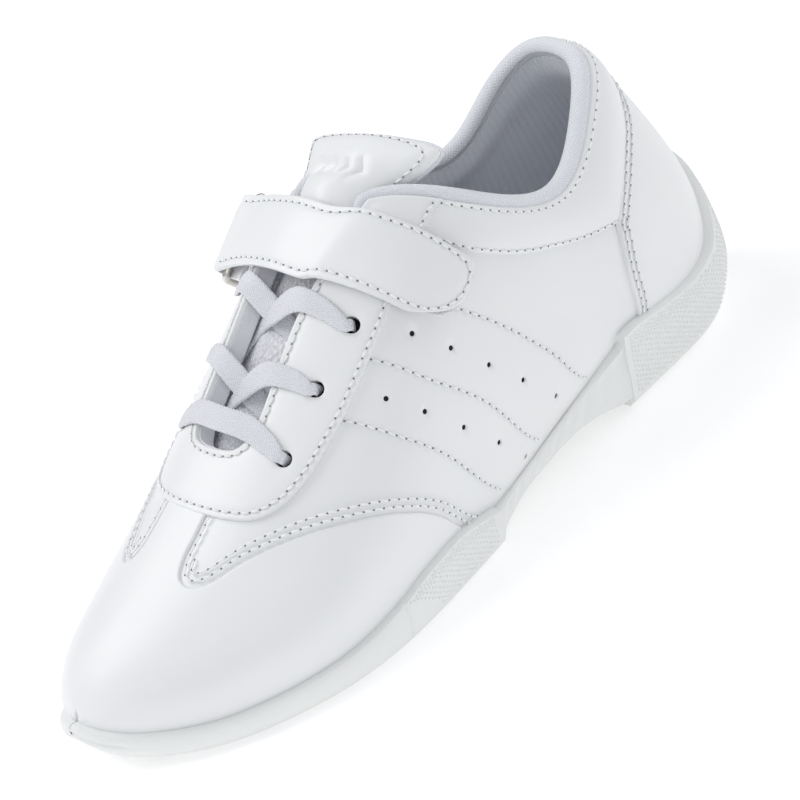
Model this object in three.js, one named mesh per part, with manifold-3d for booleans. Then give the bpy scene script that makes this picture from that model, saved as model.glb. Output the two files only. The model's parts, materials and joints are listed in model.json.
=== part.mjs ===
import * as THREE from 'three';
import Module from 'manifold-3d';

// One left cheerleading shoe standing on its split sole.
// Millimetres. Toe towards -Y, outer side of the foot +X, up +Z.

// ---------------------------------------------------------------- driving sizes
const UPPER_LENGTH = 254.5;   // heel bulge to toe tip of the leather upper
const BALL_WIDTH = 84;        // width of the upper at the ball of the foot
const INSTEP_HEIGHT = 106;    // floor to the front corner of the topline
const LEATHER = 1.4;          // outer leather
const OVERLAY = 1.2;          // lace stay lying on the outer leather
const PADDING = 1.6;          // foam and stiffener layer behind the leather
const LINING = 1.0;           // textile lining
const GAP = 0.3;              // clearance kept between neighbouring pieces
const PLY = 0.5;              // clearance between the plies of the upper
const BINDING_RADIUS = 2.3;   // rolled knit edge along the topline
const RUBBER_WALL = 3.4;      // side wall of the rubber pads
const RUBBER_FLOOR = 3.2;     // tread thickness of the rubber pads
const BRIDGE_WALL = 1.5;      // thin rubber between the two pads
const BOARD = 1.6;            // insole board
const SOCKLINER = 3.2;        // loose cushioned insole
const EYELET_DIAMETER = 5;    // punched lace holes
const LACE_WIDTH = 7.4;       // flat braided lace
const LACE_THICK = 1.2;
const TONGUE_MESH = 3;        // padded mesh of the lower tongue
const TONGUE_COVER = 1.2;     // leather front of the tongue top
const TONGUE_FOAM = 4;        // foam inside the tongue top
const STRAP_WIDTH = 24;       // instep strap
const STRAP_LEATHER = 1.4;
const STRAP_LINING = 0.9;
const PATCH = 0.9;            // hook patch and loop patch
const RING_WIRE = 2.4;        // wire of the metal ring
const RING_HEIGHT = 12;       // bar to bar

// ---------------------------------------------------------------- fits built from the sizes
const PAD_OUT = -(LEATHER + PLY);
const PAD_IN = PAD_OUT - PADDING;
const LINING_OUT = PAD_IN - PLY;
const LINING_IN = LINING_OUT - LINING;
const LACE_SLOT = LACE_THICK + 2.6;
const TONGUE_OUT = LINING_IN - LACE_SLOT;
const STAY_LOW = PLY;
const STAY_TOP = STAY_LOW + OVERLAY;
const HOOK_BOTTOM = STAY_TOP + GAP;
const STRAP_BOTTOM = HOOK_BOTTOM + PATCH + GAP;

// ---------------------------------------------------------------- form of the foot
// Stations from heel to toe. Each gives the foot line, the widest line and the
// top line as [along, half width, height] for the base size, then how upright
// the top arrives, how full the section is and the side shift of its middle.
const STATIONS = [
  { foot: [-123, 0, 12], bulge: [-127, 0, 35], top: [-107, 0, 99.5], rise: 0.8, full: 0.25, mid: 0,
    crest: 0 },
  { foot: [-117, 16.5, 12], bulge: [-120.5, 18, 36], top: [-103.5, 13, 97.5], rise: 0.8, full: 0.3,
    mid: 0, crest: 0 },
  { foot: [-100, 26.5, 14], bulge: [-101, 29.5, 37], top: [-90, 22, 88], rise: 0.8, full: 0.4, mid: 0,
    crest: 0 },
  { foot: [-69, 28.5, 18], bulge: [-69, 33.5, 38], top: [-68, 27, 78], rise: 0.8, full: 0.45, mid: 1.5,
    crest: 1.5 },
  { foot: [-36, 29.5, 15], bulge: [-37, 35.5, 38], top: [-40, 27, 94], rise: 0.7, full: 0.5, mid: 3,
    crest: 2 },
  { foot: [-6, 33.5, 10], bulge: [-8, 37.5, 34], top: [-15, 12, 106], rise: 0.25, full: 0.5, mid: 3,
    crest: 0 },
  { foot: [20, 39, 11], bulge: [18, 40.5, 30], top: [12, 0, 93.5], rise: 0, full: 0.5, mid: 2, crest: -4.5 },
  { foot: [46, 42, 9], bulge: [46, 42.5, 24], top: [42, 0, 71.5], rise: 0, full: 0.47, mid: 1.5,
    crest: -3.5 },
  { foot: [72, 39.5, 7], bulge: [72, 40, 20], top: [70, 0, 54], rise: 0, full: 0.48, mid: 0.5, crest: -2 },
  { foot: [97, 30.5, 7], bulge: [97, 31, 18], top: [97, 0, 40], rise: 0, full: 0.52, mid: -2, crest: -3 },
  { foot: [116, 18, 9], bulge: [116.5, 18.5, 17.5], top: [116.5, 0, 30], rise: 0, full: 0.55, mid: -5,
    crest: -5 },
  { foot: [127.5, 0, 16], bulge: [127.5, 0, 16], top: [127.5, 0, 16], rise: 0, full: 0.55, mid: -7,
    crest: -7 },
];
const LAST = STATIONS.length - 1;
const SCALE = [UPPER_LENGTH / 254.5, BALL_WIDTH / 84, INSTEP_HEIGHT / 106];
const BULGE_AT = 0.28;

// Smooth curve through values at 0, 1, 2 ... with free or level ends.
function spline(values, levelStart, levelEnd) {
  const n = values.length;
  const diag = new Array(n).fill(4);
  const rhs = values.map((v, i) => (i > 0 && i < n - 1 ? 3 * (values[i + 1] - values[i - 1]) : 0));
  const upper = new Array(n).fill(1);
  const lower = new Array(n).fill(1);
  if (levelStart) {
    diag[0] = 1;
    upper[0] = 0;
  } else {
    diag[0] = 2;
    rhs[0] = 3 * (values[1] - values[0]);
  }
  if (levelEnd) {
    diag[n - 1] = 1;
    lower[n - 1] = 0;
  } else {
    diag[n - 1] = 2;
    rhs[n - 1] = 3 * (values[n - 1] - values[n - 2]);
  }
  for (let i = 1; i < n; i++) {
    const m = lower[i] / diag[i - 1];
    diag[i] -= m * upper[i - 1];
    rhs[i] -= m * rhs[i - 1];
  }
  const slope = new Array(n);
  slope[n - 1] = rhs[n - 1] / diag[n - 1];
  for (let i = n - 2; i >= 0; i--) slope[i] = (rhs[i] - upper[i] * slope[i + 1]) / diag[i];
  return (x) => {
    const k = Math.min(n - 2, Math.max(0, Math.floor(x)));
    const s = x - k;
    const a = values[k];
    const b = values[k + 1];
    return a + s * slope[k] + s * s * (3 * (b - a) - 2 * slope[k] - slope[k + 1])
      + s * s * s * (2 * (a - b) + slope[k] + slope[k + 1]);
  };
}

const LINES = {};
for (const level of ['foot', 'bulge', 'top']) {
  LINES[level] = [0, 1, 2].map((k) => {
    const values = STATIONS.map((s) => s[level][k] * SCALE[k]);
    return spline(values, k !== 1, k === 0);
  });
}
const RISE = spline(STATIONS.map((s) => s.rise), true, false);
const FULL = spline(STATIONS.map((s) => s.full), true, false);
const MID = spline(STATIONS.map((s) => s.mid * SCALE[1]), true, true);
const CREST = spline(STATIONS.map((s) => s.crest * SCALE[1]), true, true);

const V = (x, y, z) => new THREE.Vector3(x, y, z);
const mix = (a, b, s) => a + (b - a) * s;
const bezier = (a, b, c, d, s) => {
  const r = 1 - s;
  return a * r * r * r + 3 * b * r * r * s + 3 * c * r * s * s + d * s * s * s;
};

// Outer face of the upper as (along, side, up): p runs heel to toe, t foot to top.
function skin(p, t, side) {
  const at = (level, shift) => {
    const q = LINES[level].map((f) => f(p));
    q[1] = side * q[1] + shift(p);
    return q;
  };
  const foot = at('foot', MID);
  const bulge = at('bulge', MID);
  const top = at('top', CREST);
  const out = [0, 0, 0];
  for (let k = 0; k < 3; k++) {
    if (t < BULGE_AT) {
      const h1 = mix(foot[k], bulge[k], 0.25);
      const h2 = k === 2 ? mix(bulge[2], foot[2], 0.6) : bulge[k];
      out[k] = bezier(foot[k], h1, h2, bulge[k], t / BULGE_AT);
    } else {
      const d = top[k] - bulge[k];
      const h1 = k === 2 ? bulge[2] + FULL(p) * d : bulge[k];
      const h2 = top[k] - FULL(p) * d * (k === 2 ? RISE(p) : 1);
      out[k] = bezier(bulge[k], h1, h2, top[k], (t - BULGE_AT) / (1 - BULGE_AT));
    }
  }
  return V(out[0], out[1], out[2]);
}

function skinNormal(p, t, side) {
  if (p > LAST - 1e-6) return V(1, 0, 0);
  const e = 0.004;
  const pc = Math.min(LAST - 0.02, p);
  const dp = p < 1e-6 ? V(0, side, 0) : skin(pc + e, t, side).sub(skin(pc - e, t, side));
  const t0 = Math.max(0, t - e);
  const t1 = Math.min(1, t + e);
  const dt = skin(pc, t1, side).sub(skin(pc, t0, side));
  return dt.cross(dp).multiplyScalar(side).normalize();
}

const onSkin = (p, t, side, off) => skin(p, t, side).addScaledVector(skinNormal(p, t, side), off);

// Height up the section at which the upper reaches a given level.
function reach(p, level) {
  let lo = 0;
  let hi = 1;
  for (let i = 0; i < 30; i++) {
    const m = (lo + hi) / 2;
    if (skin(p, m, 1).z < level) lo = m;
    else hi = m;
  }
  return (lo + hi) / 2;
}

// ---------------------------------------------------------------- closed solids
const steps = (a, b, n) => Array.from({ length: n + 1 }, (_, i) => mix(a, b, i / n));

function table(points) {
  return (x) => {
    let k = 0;
    while (k < points.length - 2 && x > points[k + 1][0]) k++;
    const s = (x - points[k][0]) / (points[k + 1][0] - points[k][0]);
    return mix(points[k][1], points[k + 1][1], Math.min(1, Math.max(0, s)));
  };
}

function closedMesh(points, faces) {
  const index = new Map();
  const position = [];
  const ids = points.map((q) => {
    const key = [q.x, q.y, q.z].map((c) => Math.round(c * 2000)).join(' ');
    if (!index.has(key)) {
      index.set(key, position.length / 3);
      position.push(q.x, q.y, q.z);
    }
    return index.get(key);
  });
  const tris = [];
  for (const f of faces) {
    const [a, b, c] = f.map((i) => ids[i]);
    if (a !== b && b !== c && c !== a) tris.push(a, b, c);
  }
  const at = (i) => V(position[3 * i], position[3 * i + 1], position[3 * i + 2]);
  let volume = 0;
  for (let i = 0; i < tris.length; i += 3) {
    volume += at(tris[i]).dot(at(tris[i + 1]).cross(at(tris[i + 2])));
  }
  if (volume < 0) tris.reverse();
  const geometry = new THREE.BufferGeometry();
  geometry.setAttribute('position', new THREE.Float32BufferAttribute(position, 3));
  geometry.setIndex(tris);
  return geometry;
}

// Rings of equal length joined one after another.
function loft(rings, closed, plane, ends) {
  const m = rings[0].length;
  const points = rings.flat();
  const faces = [];
  const n = rings.length;
  for (let i = 0; i < (closed ? n : n - 1); i++) {
    for (let j = 0; j < m; j++) {
      const a = i * m + j;
      const b = i * m + ((j + 1) % m);
      const c = ((i + 1) % n) * m + ((j + 1) % m);
      const d = ((i + 1) % n) * m + j;
      faces.push([a, b, c], [a, c, d]);
    }
  }
  if (!closed) {
    for (const last of [false, true]) {
      const ring = last ? rings[n - 1] : rings[0];
      const base = last ? (n - 1) * m : 0;
      if (ends) {
        for (const [a, b, c] of ends) {
          faces.push(last ? [base + a, base + b, base + c] : [base + a, base + c, base + b]);
        }
        continue;
      }
      const flat = ring.map((q) => new THREE.Vector2(q.getComponent(plane[0]), q.getComponent(plane[1])));
      const ringArea = THREE.ShapeUtils.area(flat);
      if (Math.abs(ringArea) < 1e-3) continue;
      for (const tri of THREE.ShapeUtils.triangulateShape(flat, [])) {
        const own = THREE.ShapeUtils.area(tri.map((i) => flat[i]));
        const forward = own * ringArea > 0;
        const keep = forward === last ? tri : [tri[0], tri[2], tri[1]];
        faces.push(keep.map((i) => base + i));
      }
    }
  }
  return closedMesh(points, faces);
}

// Sheet of the upper between two offsets. grid[i][j] holds [p, t, side] and
// has(i, j) tells which cells exist; edge = distance its first and last rows draw back.
function sheet(grid, low, high, edge, has) {
  const n = grid.length;
  const m = grid[0].length;
  const spot = (g, off) => onSkin(g[0], g[1], g[2], off);
  const back = (g, h, by) => {
    const s = by / Math.max(by * 2, spot(g, 0).distanceTo(spot(h, 0)));
    return [mix(g[0], h[0], s), mix(g[1], h[1], s), g[2]];
  };
  const cells = grid.map((row) => row.slice());
  const [first, last] = edge || [0, 0];
  if (first) cells[0] = grid[0].map((g, j) => back(g, grid[1][j], first));
  if (last) cells[n - 1] = grid[n - 1].map((g, j) => back(g, grid[n - 2][j], last));
  const points = [];
  for (const off of [low, high]) for (const row of cells) for (const g of row) points.push(spot(g, off));
  const id = (s, i, j) => s * n * m + i * m + j;
  const there = (i, j) => i >= 0 && j >= 0 && i < n - 1 && j < m - 1 && (!has || has(i, j));
  const faces = [];
  const quad = (a, b, c, d) => faces.push([a, b, c], [a, c, d]);
  const wall = (i, j, k, l) => quad(id(0, i, j), id(0, k, l), id(1, k, l), id(1, i, j));
  for (let i = 0; i < n - 1; i++) {
    for (let j = 0; j < m - 1; j++) {
      if (!there(i, j)) continue;
      quad(id(1, i, j), id(1, i + 1, j), id(1, i + 1, j + 1), id(1, i, j + 1));
      quad(id(0, i, j), id(0, i, j + 1), id(0, i + 1, j + 1), id(0, i + 1, j));
      if (!there(i, j - 1)) wall(i, j, i + 1, j);
      if (!there(i, j + 1)) wall(i + 1, j + 1, i, j + 1);
      if (!there(i - 1, j)) wall(i, j + 1, i, j);
      if (!there(i + 1, j)) wall(i + 1, j, i + 1, j + 1);
    }
  }
  return closedMesh(points, faces);
}

// Rows of cells along p through the given lines of p, one list per line.
function fill(levels, lines, counts, side) {
  const rows = [];
  lines.slice(1).forEach((line, k) => {
    for (const u of steps(0, 1, counts[k]).slice(k ? 1 : 0)) {
      rows.push(levels.map((t, j) => [mix(lines[k][j], line[j], u), t, side]));
    }
  });
  return rows;
}

// The same rows carried over the crest from the outer to the inner side.
function over(rows) {
  return rows.map((row) => [...row, ...row.slice(0, -1).reverse().map((g) => [g[0], g[1], -1])]);
}

// Cells round the heel from the inner side to the outer side.
function roundRows(stops, low, high, count) {
  const signed = [...stops.slice(1).reverse().map((p) => -p), ...stops];
  return signed.map((p) => {
    const a = low(Math.abs(p));
    const b = high(Math.abs(p));
    return steps(a, b, count).map((t) => [Math.abs(p), t, p < 0 ? -1 : 1]);
  });
}

// ---------------------------------------------------------------- sole
const FOOT = LINES.foot[2];

// Plan outline of the foot line moved outwards by d.
function outline(p, side, d, z) {
  const e = 0.002;
  const pc = Math.min(LAST - 0.001, Math.max(0.001, p));
  const q = skin(p, 0, side);
  const a = skin(pc + e, 0, side);
  const b = skin(pc - e, 0, side);
  let nx = (a.y - b.y) * -side;
  let ny = (a.x - b.x) * side;
  const len = Math.hypot(nx, ny);
  nx /= len;
  ny /= len;
  if (p < 1e-6) {
    nx = -1;
    ny = 0;
  }
  if (p > LAST - 1e-6) {
    nx = 1;
    ny = 0;
  }
  return V(q.x + nx * d, q.y + ny * d, z);
}

function plate(stops, inset, low, high) {
  return loft(stops.map((p) => [
    outline(p, 1, -inset, low(p)),
    outline(p, -1, -inset, low(p)),
    outline(p, -1, -inset, high(p)),
    outline(p, 1, -inset, high(p)),
  ]), false, [1, 2]);
}

// Rubber cup: tread underneath, wall rising outside the leather.
function rubber(stops, bottom, floor, rim, wall, edge) {
  const half = (p, side) => {
    const level = rim(p);
    const t = reach(p, level);
    const pt = (f, off) => (p > LAST - 1e-6 ? skin(p, 0, side).add(V(off, 0, 0)) : onSkin(p, t * f, side,
      off));
    const z = bottom(p);
    const top = pt(1, wall);
    const mid = pt(0.5, wall + edge);
    const under = outline(p, side, wall * 0.75, mix(z, mid.z, 0.2));
    return [
      outline(p, side, -2, z),
      under,
      outline(p, side, wall + edge * 0.6, mix(z, mid.z, 0.6)),
      mid,
      V(top.x, top.y, top.z),
      pt(1, wall * 0.75).add(V(0, 0, p > LAST - 1e-6 ? 0 : 0.5)),
      pt(1, GAP),
      pt(0.5, GAP),
      outline(p, side, GAP, FOOT(p)),
      outline(p, side, GAP, floor(p)),
    ];
  };
  const wallEnd = [[0, 1, 9], [1, 8, 9], [1, 2, 8], [2, 7, 8], [2, 3, 7], [3, 6, 7], [3, 4, 6], [4, 5, 6]];
  const mirrored = wallEnd.map(([a, b, c]) => [19 - c, 19 - b, 19 - a]);
  const ends = [...wallEnd, ...mirrored, [0, 9, 10], [0, 10, 19]];
  return loft(stops.map((p) => [...half(p, 1), ...half(p, -1).reverse()]), false, [1, 2], ends);
}

const HEEL_FRONT = 3.12;
const BALL_REAR = 5.25;
const ease = (s) => s * s * (3 - 2 * s);
const padBottom = table([[0, 0.6], [0.4, 0], [9, 0], [9.5, 0.7], [10, 2.2], [10.5, 5], [11, 10]]);
const bridgeBottom = table([[3, 7.5], [3.5, 9.2], [4, 9], [4.5, 7.4], [5, 5.4], [5.4, 4.4]]);
const clamp = (x) => Math.min(1, Math.max(0, x));
const floorLevel = (p) => {
  const inArch = Math.min(ease(clamp((p - 2.4) / 0.5)), ease(clamp((5.8 - p) / 0.45)));
  return mix(padBottom(p) + RUBBER_FLOOR, bridgeBottom(p) + BRIDGE_WALL, inArch);
};
const rimHeel = table([[0, 19], [0.7, 18.5], [1.3, 19], [2, 22], [2.6, 26], [3, 28.3], [3.2, 28]]);
const rimBridge = table([[3, 27], [3.3, 22.5], [3.7, 18], [4, 16], [4.5, 13.5], [5, 12], [5.4, 11.4]]);
const rimBall = table([[5.2, 12.5], [5.6, 15.5], [6, 17.5], [6.5, 16.4], [7, 13.6], [8, 10], [9, 9],
  [10, 11.5], [10.6, 14.2], [11, 16]]);

const heelStops = [0, 0.25, 0.5, 0.8, 1.1, 1.5, 1.8, 2.1, 2.4, 2.65, 2.9, HEEL_FRONT];
const ballStops = [BALL_REAR, 5.6, 6, 6.5, 7, 7.5, 8, 8.5, 9, 9.4, 9.7, 10, 10.25, 10.5, 10.7, 10.85, 11];
const bridgeStops = [HEEL_FRONT + 0.02, 3.4, 3.7, 4, 4.4, 4.8, BALL_REAR - 0.02];
const midsoleStops = [...heelStops, ...bridgeStops.slice(1, -1), ...ballStops];
const shankStops = [2.1, 2.6, 3.1, 3.6, 4.1, 4.6, 5.1, 5.5];
const SHANK_HALF = 12;
const SHANK = 1.2;

function bar(stops, half, low, high) {
  return loft(stops.map((p) => {
    const x = skin(p, 0, 1).x;
    const y = MID(p);
    return [V(x, y + half, low(p)), V(x, y - half, low(p)), V(x, y - half, high(p)), V(x, y + half, high(p))];
  }), false, [1, 2]);
}

// ---------------------------------------------------------------- seams of the upper, as [t, p] or [p, t]
const WING_EDGE = [[0, 5.45], [0.065, 5.7], [0.15, 5.88], [0.26, 6.12], [0.36, 6.5], [0.47, 6.98],
  [0.575, 7.49],
  [0.685, 8.12], [0.74, 8.5], [0.8, 8.64], [0.86, 8.61], [0.885, 8.45]];
const COUNTER_TOP = [[0, 0.86], [0.96, 0.83], [1.5, 0.79], [2.04, 0.745], [2.4, 0.67], [2.64, 0.59],
  [2.79, 0.38]];
const COLLAR_SEAM = [[2.66, 0.6], [3, 0.665], [3.2, 0.7], [3.45, 0.73], [3.75, 0.738], [4.1, 0.746],
  [4.4, 0.758],
  [4.7, 0.8]];
const COLLAR_LOW = [[0, 0.86], [0.96, 0.83], [1.5, 0.79], [2.04, 0.745], [2.4, 0.67], ...COLLAR_SEAM];
const RIM_T = 0.935;
const THROAT_T = 0.865;
const EYELETS = [[5.86, 0.715], [6.49, 0.73], [7.14, 0.74]];
const STAY_OUTER = [[4.36, 0.97], [4.55, 0.89], [4.74, 0.81], [5.05, 0.735], [5.48, 0.66], [5.9, 0.635],
  [6.46, 0.63],
  [6.78, 0.64], [7.14, 0.655], [7.49, 0.685], [7.75, 0.735], [7.91, 0.81], [8.01, 0.91], [8.04, 1]];
const STAY_INNER = [[5.0, 0.97], [5.17, 0.93], [5.35, 0.89], [5.6, 0.87], [5.9, 0.86], [6.2, 0.86], [6.5,
  0.86],
  [6.75, 0.86], [7, 0.86], [7.18, 0.868], [7.3, 0.885], [7.38, 0.91], [7.43, 0.95], [7.45, 1]];

const group = new THREE.Group();
group.name = 'cheer_shoe';
const COLOURS = {
  leather: 0xf0f1f2, rubber: 0xe6e7e6, textile: 0xe3e5ea, foam: 0xd7d8d8, board: 0xbfae92,
  steel: 0xb9bcc0, lace: 0xf2f3f8,
};

function add(name, geometry, colour, rough) {
  const material = new THREE.MeshStandardMaterial({
    color: COLOURS[colour],
    roughness: rough,
    metalness: colour === 'steel' ? 1 : 0,
  });
  const mesh = new THREE.Mesh(geometry, material);
  mesh.name = name;
  group.add(mesh);
}

// ---------------------------------------------------------------- joining and cutting
const wasm = await Module();
wasm.setup();

function toSolid(geometry) {
  return new wasm.Manifold(new wasm.Mesh({
    numProp: 3,
    vertProperties: new Float32Array(geometry.getAttribute('position').array),
    triVerts: new Uint32Array(geometry.getIndex().array),
  }));
}

function toGeometry(solid) {
  const mesh = solid.getMesh();
  const points = [];
  for (let i = 0; i < mesh.numVert; i++) {
    points.push(V(mesh.vertProperties[i * mesh.numProp], mesh.vertProperties[i * mesh.numProp + 1],
      mesh.vertProperties[i * mesh.numProp + 2]));
  }
  const faces = [];
  for (let i = 0; i < mesh.numTri; i++) {
    faces.push([mesh.triVerts[3 * i], mesh.triVerts[3 * i + 1], mesh.triVerts[3 * i + 2]]);
  }
  return closedMesh(points, faces);
}

function cut(geometry, tools) {
  let solid = toSolid(geometry);
  for (const tool of tools) solid = solid.subtract(toSolid(tool));
  return toGeometry(solid);
}

function punch([p, t], side) {
  const axis = skinNormal(p, t, side);
  const across = V(1, 0, 0).addScaledVector(axis, -axis.x).normalize();
  const other = axis.clone().cross(across);
  const circle = (off) => steps(0, 2 * Math.PI, 14).slice(0, -1).map((a) => onSkin(p, t, side, off)
    .addScaledVector(across, Math.cos(a) * EYELET_DIAMETER / 2)
    .addScaledVector(other, Math.sin(a) * EYELET_DIAMETER / 2));
  return loft([circle(-9), circle(5)], false, [0, 1]);
}
const holes = { lateral: EYELETS.map((e) => punch(e, 1)), medial: EYELETS.map((e) => punch(e, -1)) };
const allHoles = [...holes.lateral, ...holes.medial];

// ---------------------------------------------------------------- bottom unit
add('outsole_heel', rubber(heelStops, padBottom, floorLevel, rimHeel, RUBBER_WALL, 1), 'rubber', 0.6);
add('outsole_forefoot', rubber(ballStops, padBottom, floorLevel, rimBall, RUBBER_WALL, 0.5), 'rubber', 0.6);
add('arch_bridge', rubber(bridgeStops, bridgeBottom, floorLevel, rimBridge, BRIDGE_WALL, 0.2), 'rubber', 0.6);
const midsole = plate(midsoleStops, 0, (p) => floorLevel(p) + GAP, (p) => FOOT(p) - GAP);
const pocket = bar(shankStops, SHANK_HALF + GAP, (p) => FOOT(p) - SHANK - 2 * GAP - 0.2, (p) => FOOT(p) + 2);
add('midsole', cut(midsole, [pocket]), 'foam', 0.9);
const shank = bar(shankStops.map((p) => mix(2.115, 5.485, (p - 2.1) / 3.4)), SHANK_HALF,
  (p) => FOOT(p) - SHANK - GAP, (p) => FOOT(p) - GAP);
add('shank_plate', shank, 'steel', 0.5);
const boardStops = [...midsoleStops.filter((p) => p < 10.3), 10.4];
const EDGE = -LINING_IN + 2 * GAP;
add('insole_board', plate(boardStops, EDGE, (p) => FOOT(p) + 0.1, (p) => FOOT(p) + BOARD), 'board', 0.9);
add('sockliner', plate(boardStops, EDGE + 0.4, (p) => FOOT(p) + BOARD + GAP,
  (p) => FOOT(p) + BOARD + GAP + SOCKLINER), 'textile', 0.95);

// ---------------------------------------------------------------- outer leather
const NOTCH = 0.885;
const wingLevels = [...WING_EDGE.map((e) => e[0]), 0.94, 1];
const wingLine = [...WING_EDGE.map((e) => e[1] + 0.006), 8.45, 8.45];
const wingRows = fill(wingLevels, [wingLevels.map(() => 7.4), wingLine, wingLevels.map(() => LAST)], [4,
  14], 1);
for (let i = 0; i < 4; i++) {
  wingRows[i] = wingLevels.map((t, j) => [t < NOTCH ? wingLine[j] : mix(7.4, 8.456, i / 4), t, 1]);
}
const strip = over(wingRows);
const inStrip = (i, j) => i > 3 || Math.min(strip[i][j][1], strip[i][j + 1][1]) >= NOTCH;
add('toe_vamp', sheet(strip, -LEATHER, 0, null, inStrip), 'leather', 0.35);

const quarterLevels = [0, 0.1, 0.2, 0.3, 0.38, 0.48, 0.6, 0.665, 0.7, 0.73, 0.738, 0.746, 0.758, 0.8,
  0.835, THROAT_T,
  0.9, RIM_T];
const counterEdge = [2.8, 2.8, 2.8, 2.8, 2.8, 2.74];
const quarterRear = [...counterEdge, ...COLLAR_SEAM.map((e) => e[0]), 4.68, 4.63, 4.56, 4.5];
const wingAt = table(WING_EDGE);
const throatAt = table([[0, 5.3], [0.6, 5.45], [THROAT_T, 5.6], [0.9, 5.33], [RIM_T, 5.15]]);
const throatLine = quarterLevels.map((t) => throatAt(t));
const quarterFront = quarterLevels.map((t) => wingAt(t) - 0.035);
for (const [name, side] of [['lateral', 1], ['medial', -1]]) {
  const rows = fill(quarterLevels, [quarterRear, throatLine, quarterFront], [10, 12], side);
  const has = (i, j) => i < 10 || quarterLevels[j + 1] <= THROAT_T;
  add('quarter_' + name, cut(sheet(rows, -LEATHER, 0, [GAP, 0], has), holes[name]), 'leather', 0.35);
}

const counterTop = table(COUNTER_TOP);
add('heel_counter_panel', sheet(roundRows([0, 0.25, 0.5, 0.8, 1.1, 1.5, 1.8, 2.04, 2.25, 2.4, 2.64, 2.77],
  () => 0, (p) => counterTop(p) - 0.006, 9), -LEATHER, 0), 'leather', 0.35);

const collarLow = table(COLLAR_LOW);
const collarHigh = table([[0, RIM_T], [4.4, RIM_T], [4.55, 0.88], [4.7, 0.815]]);
const collarStops = [0.01, 0.25, 0.5, 0.8, 1.1, 1.5, 1.8, 2.04, 2.25, 2.4, 2.66, 3, 3.2, 3.45, 3.75, 4.1, 4.4,
  4.55, 4.68];
for (const [name, side] of [['lateral', 1], ['medial', -1]]) {
  const rows = collarStops.map((p) => steps(collarLow(p) + 0.007, collarHigh(p), 4).map((t) => [p, t, side]));
  add('collar_panel_' + name, sheet(rows, -LEATHER, 0), 'leather', 0.35);
}

const stayHalf = STAY_OUTER.map((o, k) => steps(0, 1, 4).map((v) => {
  const i = STAY_INNER[k];
  return [mix(i[0], o[0], v), mix(i[1], o[1], v), 1];
}));
const stayBack = stayHalf.slice(0, -1).reverse().map((row) => row.map((g) => [g[0], g[1], -1]));
add('eyestay', cut(sheet([...stayHalf, ...stayBack], STAY_LOW, STAY_TOP), allHoles), 'leather', 0.35);

// ---------------------------------------------------------------- layers behind the leather
const puffLevels = [0.1, 0.2, 0.3, 0.4, 0.5, 0.6, 0.7, 0.8, 0.9, 1];
add('toe_puff', sheet(over(fill(puffLevels, [puffLevels.map(() => 8.9), puffLevels.map(() => 10.5)], [6], 1)),
  PAD_IN, PAD_OUT), 'board', 0.9);
add('heel_stiffener', sheet(roundRows([0, 0.25, 0.5, 0.8, 1.1, 1.5, 1.9, 2.3, 2.6], () => 0.03,
  table([[0, 0.66], [1.5, 0.62], [2.2, 0.55], [2.6, 0.45]]), 6), PAD_IN, PAD_OUT), 'board', 0.9);
add('collar_foam', sheet(roundRows([0, 0.25, 0.5, 0.8, 1.1, 1.5, 1.9, 2.3, 2.6, 2.9, 3.2, 3.5, 3.8, 4.1,
  4.35],
  table([[0, 0.69], [1.5, 0.65], [2.2, 0.62], [4.4, 0.62]]), () => RIM_T, 5), PAD_IN, PAD_OUT), 'foam', 0.95);
for (const [name, side] of [['lateral', 1], ['medial', -1]]) {
  const levels = [0.03, 0.12, 0.2, 0.3, 0.4, 0.5, 0.58, 0.66, 0.73, 0.758, 0.8, 0.835, THROAT_T - 0.01];
  const lines = [() => 2.72, () => 4.42, (t) => wingAt(t) - 0.1].map((f) => levels.map(f));
  const rows = fill(levels, lines, [6, 18], side);
  const has = (i, j) => i >= 6 || levels[j + 1] < 0.59;
  add('interlining_' + name, cut(sheet(rows, PAD_IN, PAD_OUT, null, has), holes[name]), 'foam', 0.95);
}
add('collar_lining', sheet(roundRows([0, 0.25, 0.5, 0.8, 1.1, 1.5, 1.9, 2.3, 2.6, 2.9, 3.2, 3.5, 3.8,
  4.1, 4.4, 4.7, 5.0],
  () => 0.01, () => RIM_T, 10), LINING_IN, LINING_OUT), 'textile', 0.95);
const vampLevels = [0.01, 0.12, 0.2, 0.3, 0.4, 0.5, 0.58, 0.66, 0.73, 0.8, THROAT_T - 0.01, 0.93, 1];
const vampLines = [5.03, 7.5, 10.5].map((p) => vampLevels.map(() => p));
const vampRows = over(fill(vampLevels, vampLines, [8, 9], 1));
const vampHas = (i, j) => i >= 8 || Math.max(vampRows[i][j][1], vampRows[i][j + 1][1]) < THROAT_T;
add('vamp_lining', cut(sheet(vampRows, LINING_IN, LINING_OUT, null, vampHas), allHoles), 'textile', 0.95);

// ---------------------------------------------------------------- topline binding
const rimStops = steps(0, 4.95, 18);
const rimPath = [...rimStops.slice(1).reverse().map((p) => [p, -1]), ...rimStops.map((p) => [p, 1])]
  .map(([p, side]) => onSkin(p, 0.985, side, LINING_IN / 2).add(V(0, 0, 0.4)));
const round = new THREE.Shape();
round.absarc(0, 0, BINDING_RADIUS, 0, 2 * Math.PI);
add('collar_binding', new THREE.ExtrudeGeometry(round, {
  steps: 44,
  curveSegments: 5,
  extrudePath: new THREE.CatmullRomCurve3(rimPath),
}), 'textile', 0.9);

// ---------------------------------------------------------------- free surfaces given by points
const place = (a, w, u) => V(a * SCALE[0], w * SCALE[1], u * SCALE[2]);

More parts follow.
